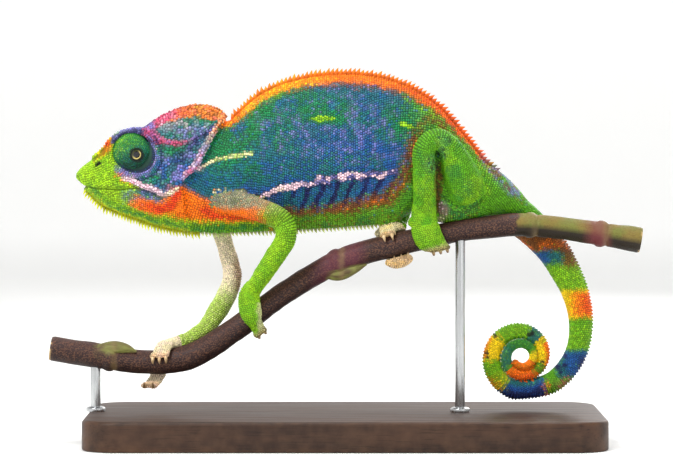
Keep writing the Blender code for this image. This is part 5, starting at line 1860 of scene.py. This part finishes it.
def grain_group():
    """Fine uneven tone of scaled skin, and the height of its pores."""
    tree, graph, start, end = shared("Skin grain", {"Size": 900, "Uneven": 0.3}, ["Tone", "Height"])
    if graph:
        fine = graph.noise(start["Size"])
        both = graph.plus(graph.times(fine, 0.6), graph.times(graph.noise(120, 2), 0.4))
        swing = graph.times(graph.maths("SUBTRACT", both, 0.5), start["Uneven"])
        graph.put(end["Tone"], graph.plus(graph.times(swing, 2), 1))
        pores = graph.add("TexVoronoi", {"Scale": start["Size"], "Vector": graph.objects()}).outputs["Distance"]
        graph.put(end["Height"], graph.plus(graph.times(fine, 0.6), graph.times(pores, 0.4)))
    return tree


def wear_group():
    """Rubbed edges, found from the bend of the surface."""
    tree, graph, start, end = shared("Edge wear", {"Amount": 0.5, "Size": 200}, ["Mask"])
    if graph:
        bend = graph.span(graph.add("NewGeometry").outputs["Pointiness"], 0.51, 0.6)
        broken = graph.times(bend, graph.span(graph.noise(start["Size"], 4), 0.35, 0.65))
        graph.put(end["Mask"], graph.times(broken, start["Amount"]))
    return tree


def graph_of(name):
    """The graph of a new material."""
    material = bpy.data.materials.new(name)
    material.use_nodes = True
    return Graph(material.node_tree, material)


def hide_material(name, roughness, gap=0):
    """Skin or scales in the animal's markings. Scales are painted darker towards their roots and a little lighter on
    top, as painted shade between them and painted light on their tops. The bare skin is painted darker still, as
    painted shade of the crevices.
    """
    graph = graph_of("hide_" + name)
    colour = graph.group(markings_group(), {label: chosen(key) for key, (label, _, _) in PIGMENTS.items()})["Colour"]
    grain = graph.group(grain_group(), {"Size": 1300, "Uneven": 0.35})
    if gap:
        top = graph.attribute("scale_top")
        # Painted shade and light: each scale runs from the gap value at its root to 1.08 at its top.
        swing = 0.34 * (1 - gap)
        tone = graph.span(graph.attribute("scale_tone"), 0, 1, 1 - swing, 1 + swing)
        tone_and_painted_shade = graph.times(graph.times(tone, graph.span(top, 0, 1, gap, 1.08)), grain["Tone"])
        rough = graph.span(top, 0, 1, roughness + 0.25, roughness)
    else:
        # The bare skin is painted at 0.42 of its pigments, as painted shade of the crevices between scales.
        tone_and_painted_shade = graph.times(grain["Tone"], 0.42)
        rough = graph.span(grain["Tone"], 0.7, 1.3, roughness + 0.1, roughness - 0.05)
    colour = graph.add("VectorMath", {0: colour, "Scale": tone_and_painted_shade}, operation="SCALE").outputs[0]
    return graph.surface(colour, rough, grain["Height"], 0.08, 0.45, 0.28)


def eye_material():
    """A dark eye with a pale ring round its pupil, under a wet clear coat. The ring is painted dark olive towards its
    upper left, as painted shade of the lid.
    """
    graph = graph_of("wet_eye")
    radius = graph.plus(graph.attribute("from_axis"), graph.span(graph.noise(1500), 0, 1, -0.12, 0.12))
    ring = graph.times(graph.span(radius, 1.3, 1.42), graph.span(radius, 1.96, 1.78))
    # Painted lid shade: the ring turns dark olive towards its upper left.
    iris = graph.layers(paint(50, 54, 26), (graph.attribute("iris_low"), chosen("iris")))
    return graph.surface(
        graph.layers((0.006, 0.006, 0.01, 1), (ring, iris)), graph.span(graph.noise(900), 0.3, 0.7, 0.06, 0.12),
        graph.noise(2400), 0.01, 0.2, 0.3, {"Coat Weight": 0.35, "Coat Roughness": 0.03})


def claw_material():
    """Horn, tan at the root and darker at the point."""
    graph = graph_of("claw_horn")
    streaks = graph.noise(900, 3, (0.4, 1, 1))
    colour = graph.layers(
        chosen("horn"), (graph.span(streaks, 0.35, 0.7), paint(232, 204, 160)),
        (graph.span(graph.attribute("claw_tip"), 0.6, 1.2, 0, 0.7), paint(84, 52, 30)))
    return graph.surface(colour, graph.span(streaks, 0.3, 0.7, 0.28, 0.46), streaks, 0.08, 0.4)


def bark_material():
    """Dark flecked bark that turns to green wood past the third ring. The bark is painted lighter on top and both are
    painted darker below: painted light and painted shade.
    """
    graph = graph_of("bark")
    place = graph.add("SeparateXYZ", {"Vector": graph.objects()}).outputs["X"]
    top, broad = graph.attribute("bark_top"), graph.noise(140)
    flecks = graph.span(graph.noise(2200, 4, (0.7, 1, 1)), 0.48, 0.62)
    bark = graph.layers(
        chosen("bark"), (graph.span(broad, 0.35, 0.65), paint(34, 20, 22)),
        # Painted light on the top of the bark, then painted shade below it.
        (graph.times(flecks, 0.6), chosen("bark_fleck")), (graph.span(top, -0.2, 0.9, 0, 0.16), paint(100, 62, 58)),
        (graph.span(top, -0.3, -0.9, 0, 0.6), paint(26, 16, 18)))
    reddish = graph.times(graph.span(place, 0.094, 0.099), graph.span(place, 0.107, 0.103))
    green = graph.layers(
        chosen("green_wood"), (graph.span(broad, 0.4, 0.62), paint(122, 106, 46)),
        # Painted shade under the green wood.
        (graph.times(flecks, 0.35), paint(92, 60, 34)), (graph.span(top, 0.2, -0.3), paint(36, 28, 18)),
        (graph.times(reddish, 0.75), paint(112, 48, 52)))
    bud = graph.layers(
        chosen("bud_scale"), (graph.span(graph.noise(500, 3, (0.3, 1, 1)), 0.4, 0.65), paint(92, 76, 50)))
    rings = graph.add("TexWave", {"Scale": 420, "Distortion": 1.2, "Detail": 2, "Vector": graph.objects()},
                      wave_type="RINGS", rings_direction="X").outputs["Fac"]
    pith = graph.layers(chosen("pith"), (graph.span(rings, 0.2, 0.8, 0, 0.4), paint(150, 116, 74)))
    edge = graph.plus(place, graph.span(broad, 0.3, 0.7, -0.0025, 0.0025))
    sheen = graph.times(graph.span(place, -0.016, -0.006), graph.span(place, 0.01, 0.004))
    colour = graph.layers(
        bark, (graph.span(edge, 0.069, 0.0705), green), (graph.times(sheen, 0.35), paint(122, 50, 74)),
        (graph.attribute("bud"), bud),
        (graph.times(graph.attribute("node_ring"), graph.span(broad, 0.3, 0.6, 0.2, 0.55)), paint(140, 116, 78)),
        (graph.attribute("cut_end"), pith),
        (graph.group(wear_group(), {"Amount": 0.15})["Mask"], paint(160, 130, 104)))
    height = graph.plus(graph.noise(700, 5, (0.35, 1, 1)), graph.times(flecks, 0.3))
    return graph.surface(colour, graph.span(flecks, 0, 1, 0.5, 0.68), height, 0.35, 0.7, 0.3)


def wood_material():
    """Dark stained wood with its grain along the base."""
    graph = graph_of("stained_wood")
    along = (0.09, 1, 1)
    grain = graph.noise(260, 6, along, 0.62)
    pores = graph.span(graph.noise(1500, 3, (0.05, 1, 1)), 0.56, 0.7)
    figure = graph.add("TexWave", {"Scale": 34, "Distortion": 7, "Detail": 3, "Vector": graph.objects(along)},
                       bands_direction="Y").outputs["Fac"]
    figure = graph.plus(graph.times(grain, 0.6), graph.times(figure, 0.4))
    colour = graph.layers(
        paint(46, 30, 22), (graph.span(figure, 0.25, 0.75), chosen("stained_wood")),
        (graph.times(pores, 0.7), paint(24, 15, 11)),
        (graph.group(wear_group(), {"Amount": 0.4})["Mask"], paint(136, 100, 72)))
    height = graph.maths("SUBTRACT", grain, graph.times(pores, 0.5))
    return graph.surface(colour, graph.span(grain, 0.3, 0.7, 0.42, 0.56), height, 0.12, 0.4, 0.25)


def steel_material():
    """Steel brushed along the rod."""
    graph = graph_of("brushed_steel")
    lines = graph.noise(3200, 3, (1, 1, 0.02))
    rough = graph.plus(graph.span(lines, 0.3, 0.7, 0.18, 0.28), graph.span(graph.noise(60), 0.4, 0.7, 0, 0.1))
    colour = graph.layers(chosen("steel"), (graph.span(lines, 0.3, 0.7), (0.42, 0.43, 0.44, 1)))
    return graph.surface(colour, rough, lines, 0.02, 0.3, plain={"Metallic": 1})


def studio_material():
    """Pale paper that glows a little where it rises from the floor."""
    graph = graph_of("studio_paper")
    tone = graph.noise(3, 2)
    colour = graph.layers(chosen("studio"), (graph.span(tone, 0.3, 0.7, 0, 0.1), paint(236, 236, 234)))
    glow = graph.layers((0, 0, 0, 1), (graph.attribute("glow"), (1, 1, 1, 1)))
    return graph.surface(colour, graph.span(tone, 0.3, 0.7, 0.86, 0.92), tone, 0.01, 0.1,
                  0.1, {"Emission Color": glow, "Emission Strength": 1})


# --- Operators and panel ---


def done(context, *builders):
    """Runs a step's builders at the panel's sizes."""
    for build in builders:
        build(context.scene.chameleon_sizes)
    return {"FINISHED"}


class CHAMELEON_OT_stage(bpy.types.Operator):
    """Set the floor, lights and camera"""

    bl_idname = "chameleon.stage"
    bl_label = "Stage"

    def execute(self, context):
        return done(context, build_stage)


class CHAMELEON_OT_skin(bpy.types.Operator):
    """Build the one skin over all the flesh"""

    bl_idname = "chameleon.skin"
    bl_label = "Skin"

    def execute(self, context):
        return done(context, build_skin)


class CHAMELEON_OT_coat(bpy.types.Operator):
    """Lay solid scales over the skin, region by region"""

    bl_idname = "chameleon.coat"
    bl_label = "Scales"

    def execute(self, context):
        return done(context, build_coat)


class CHAMELEON_OT_crests(bpy.types.Operator):
    """Set the pointed scales along the back, chin, belly and tail"""

    bl_idname = "chameleon.crests"
    bl_label = "Crests"

    def execute(self, context):
        return done(context, build_crests)


class CHAMELEON_OT_eyes(bpy.types.Operator):
    """Set the eyeballs behind their lids"""

    bl_idname = "chameleon.eyes"
    bl_label = "Eyes"

    def execute(self, context):
        return done(context, build_eyes)


class CHAMELEON_OT_claws(bpy.types.Operator):
    """Set a claw on every toe"""

    bl_idname = "chameleon.claws"
    bl_label = "Claws"

    def execute(self, context):
        return done(context, build_claws)


class CHAMELEON_OT_branch(bpy.types.Operator):
    """Build the length of branch that the animal grips"""

    bl_idname = "chameleon.branch"
    bl_label = "Branch"

    def execute(self, context):
        return done(context, build_branch)


class CHAMELEON_OT_stand(bpy.types.Operator):
    """Build the wooden base and the two steel rods"""

    bl_idname = "chameleon.stand"
    bl_label = "Stand"

    def execute(self, context):
        return done(context, build_base, build_rods)


OPERATORS = (CHAMELEON_OT_stage, CHAMELEON_OT_skin, CHAMELEON_OT_coat, CHAMELEON_OT_crests, CHAMELEON_OT_eyes,
             CHAMELEON_OT_claws, CHAMELEON_OT_branch, CHAMELEON_OT_stand)


class CHAMELEON_PT_build(bpy.types.Panel):
    """Lists the steps and the sizes and colours that they use"""

    bl_idname = "CHAMELEON_PT_build"
    bl_label = "Chameleon on a perch"
    bl_space_type = "VIEW_3D"
    bl_region_type = "UI"
    bl_category = "Chameleon"

    def draw(self, context):
        for operator in OPERATORS:
            self.layout.operator(operator.bl_idname)
        for settings in (context.scene.chameleon_sizes, context.scene.chameleon_colours):
            box = self.layout.box()
            for key in settings.__annotations__:
                box.prop(settings, key)


CLASSES = (ChameleonSizes, ChameleonColours, *OPERATORS, CHAMELEON_PT_build)


def register():
    for made in CLASSES:
        bpy.utils.register_class(made)
    bpy.types.Scene.chameleon_sizes = bpy.props.PointerProperty(type=ChameleonSizes)
    bpy.types.Scene.chameleon_colours = bpy.props.PointerProperty(type=ChameleonColours)


def unregister():
    del bpy.types.Scene.chameleon_colours
    del bpy.types.Scene.chameleon_sizes
    for made in reversed(CLASSES):
        bpy.utils.unregister_class(made)


def main():
    register()
    for operator in OPERATORS:
        getattr(bpy.ops.chameleon, operator.bl_idname.split(".")[1])()


if __name__ == "__main__":
    main()
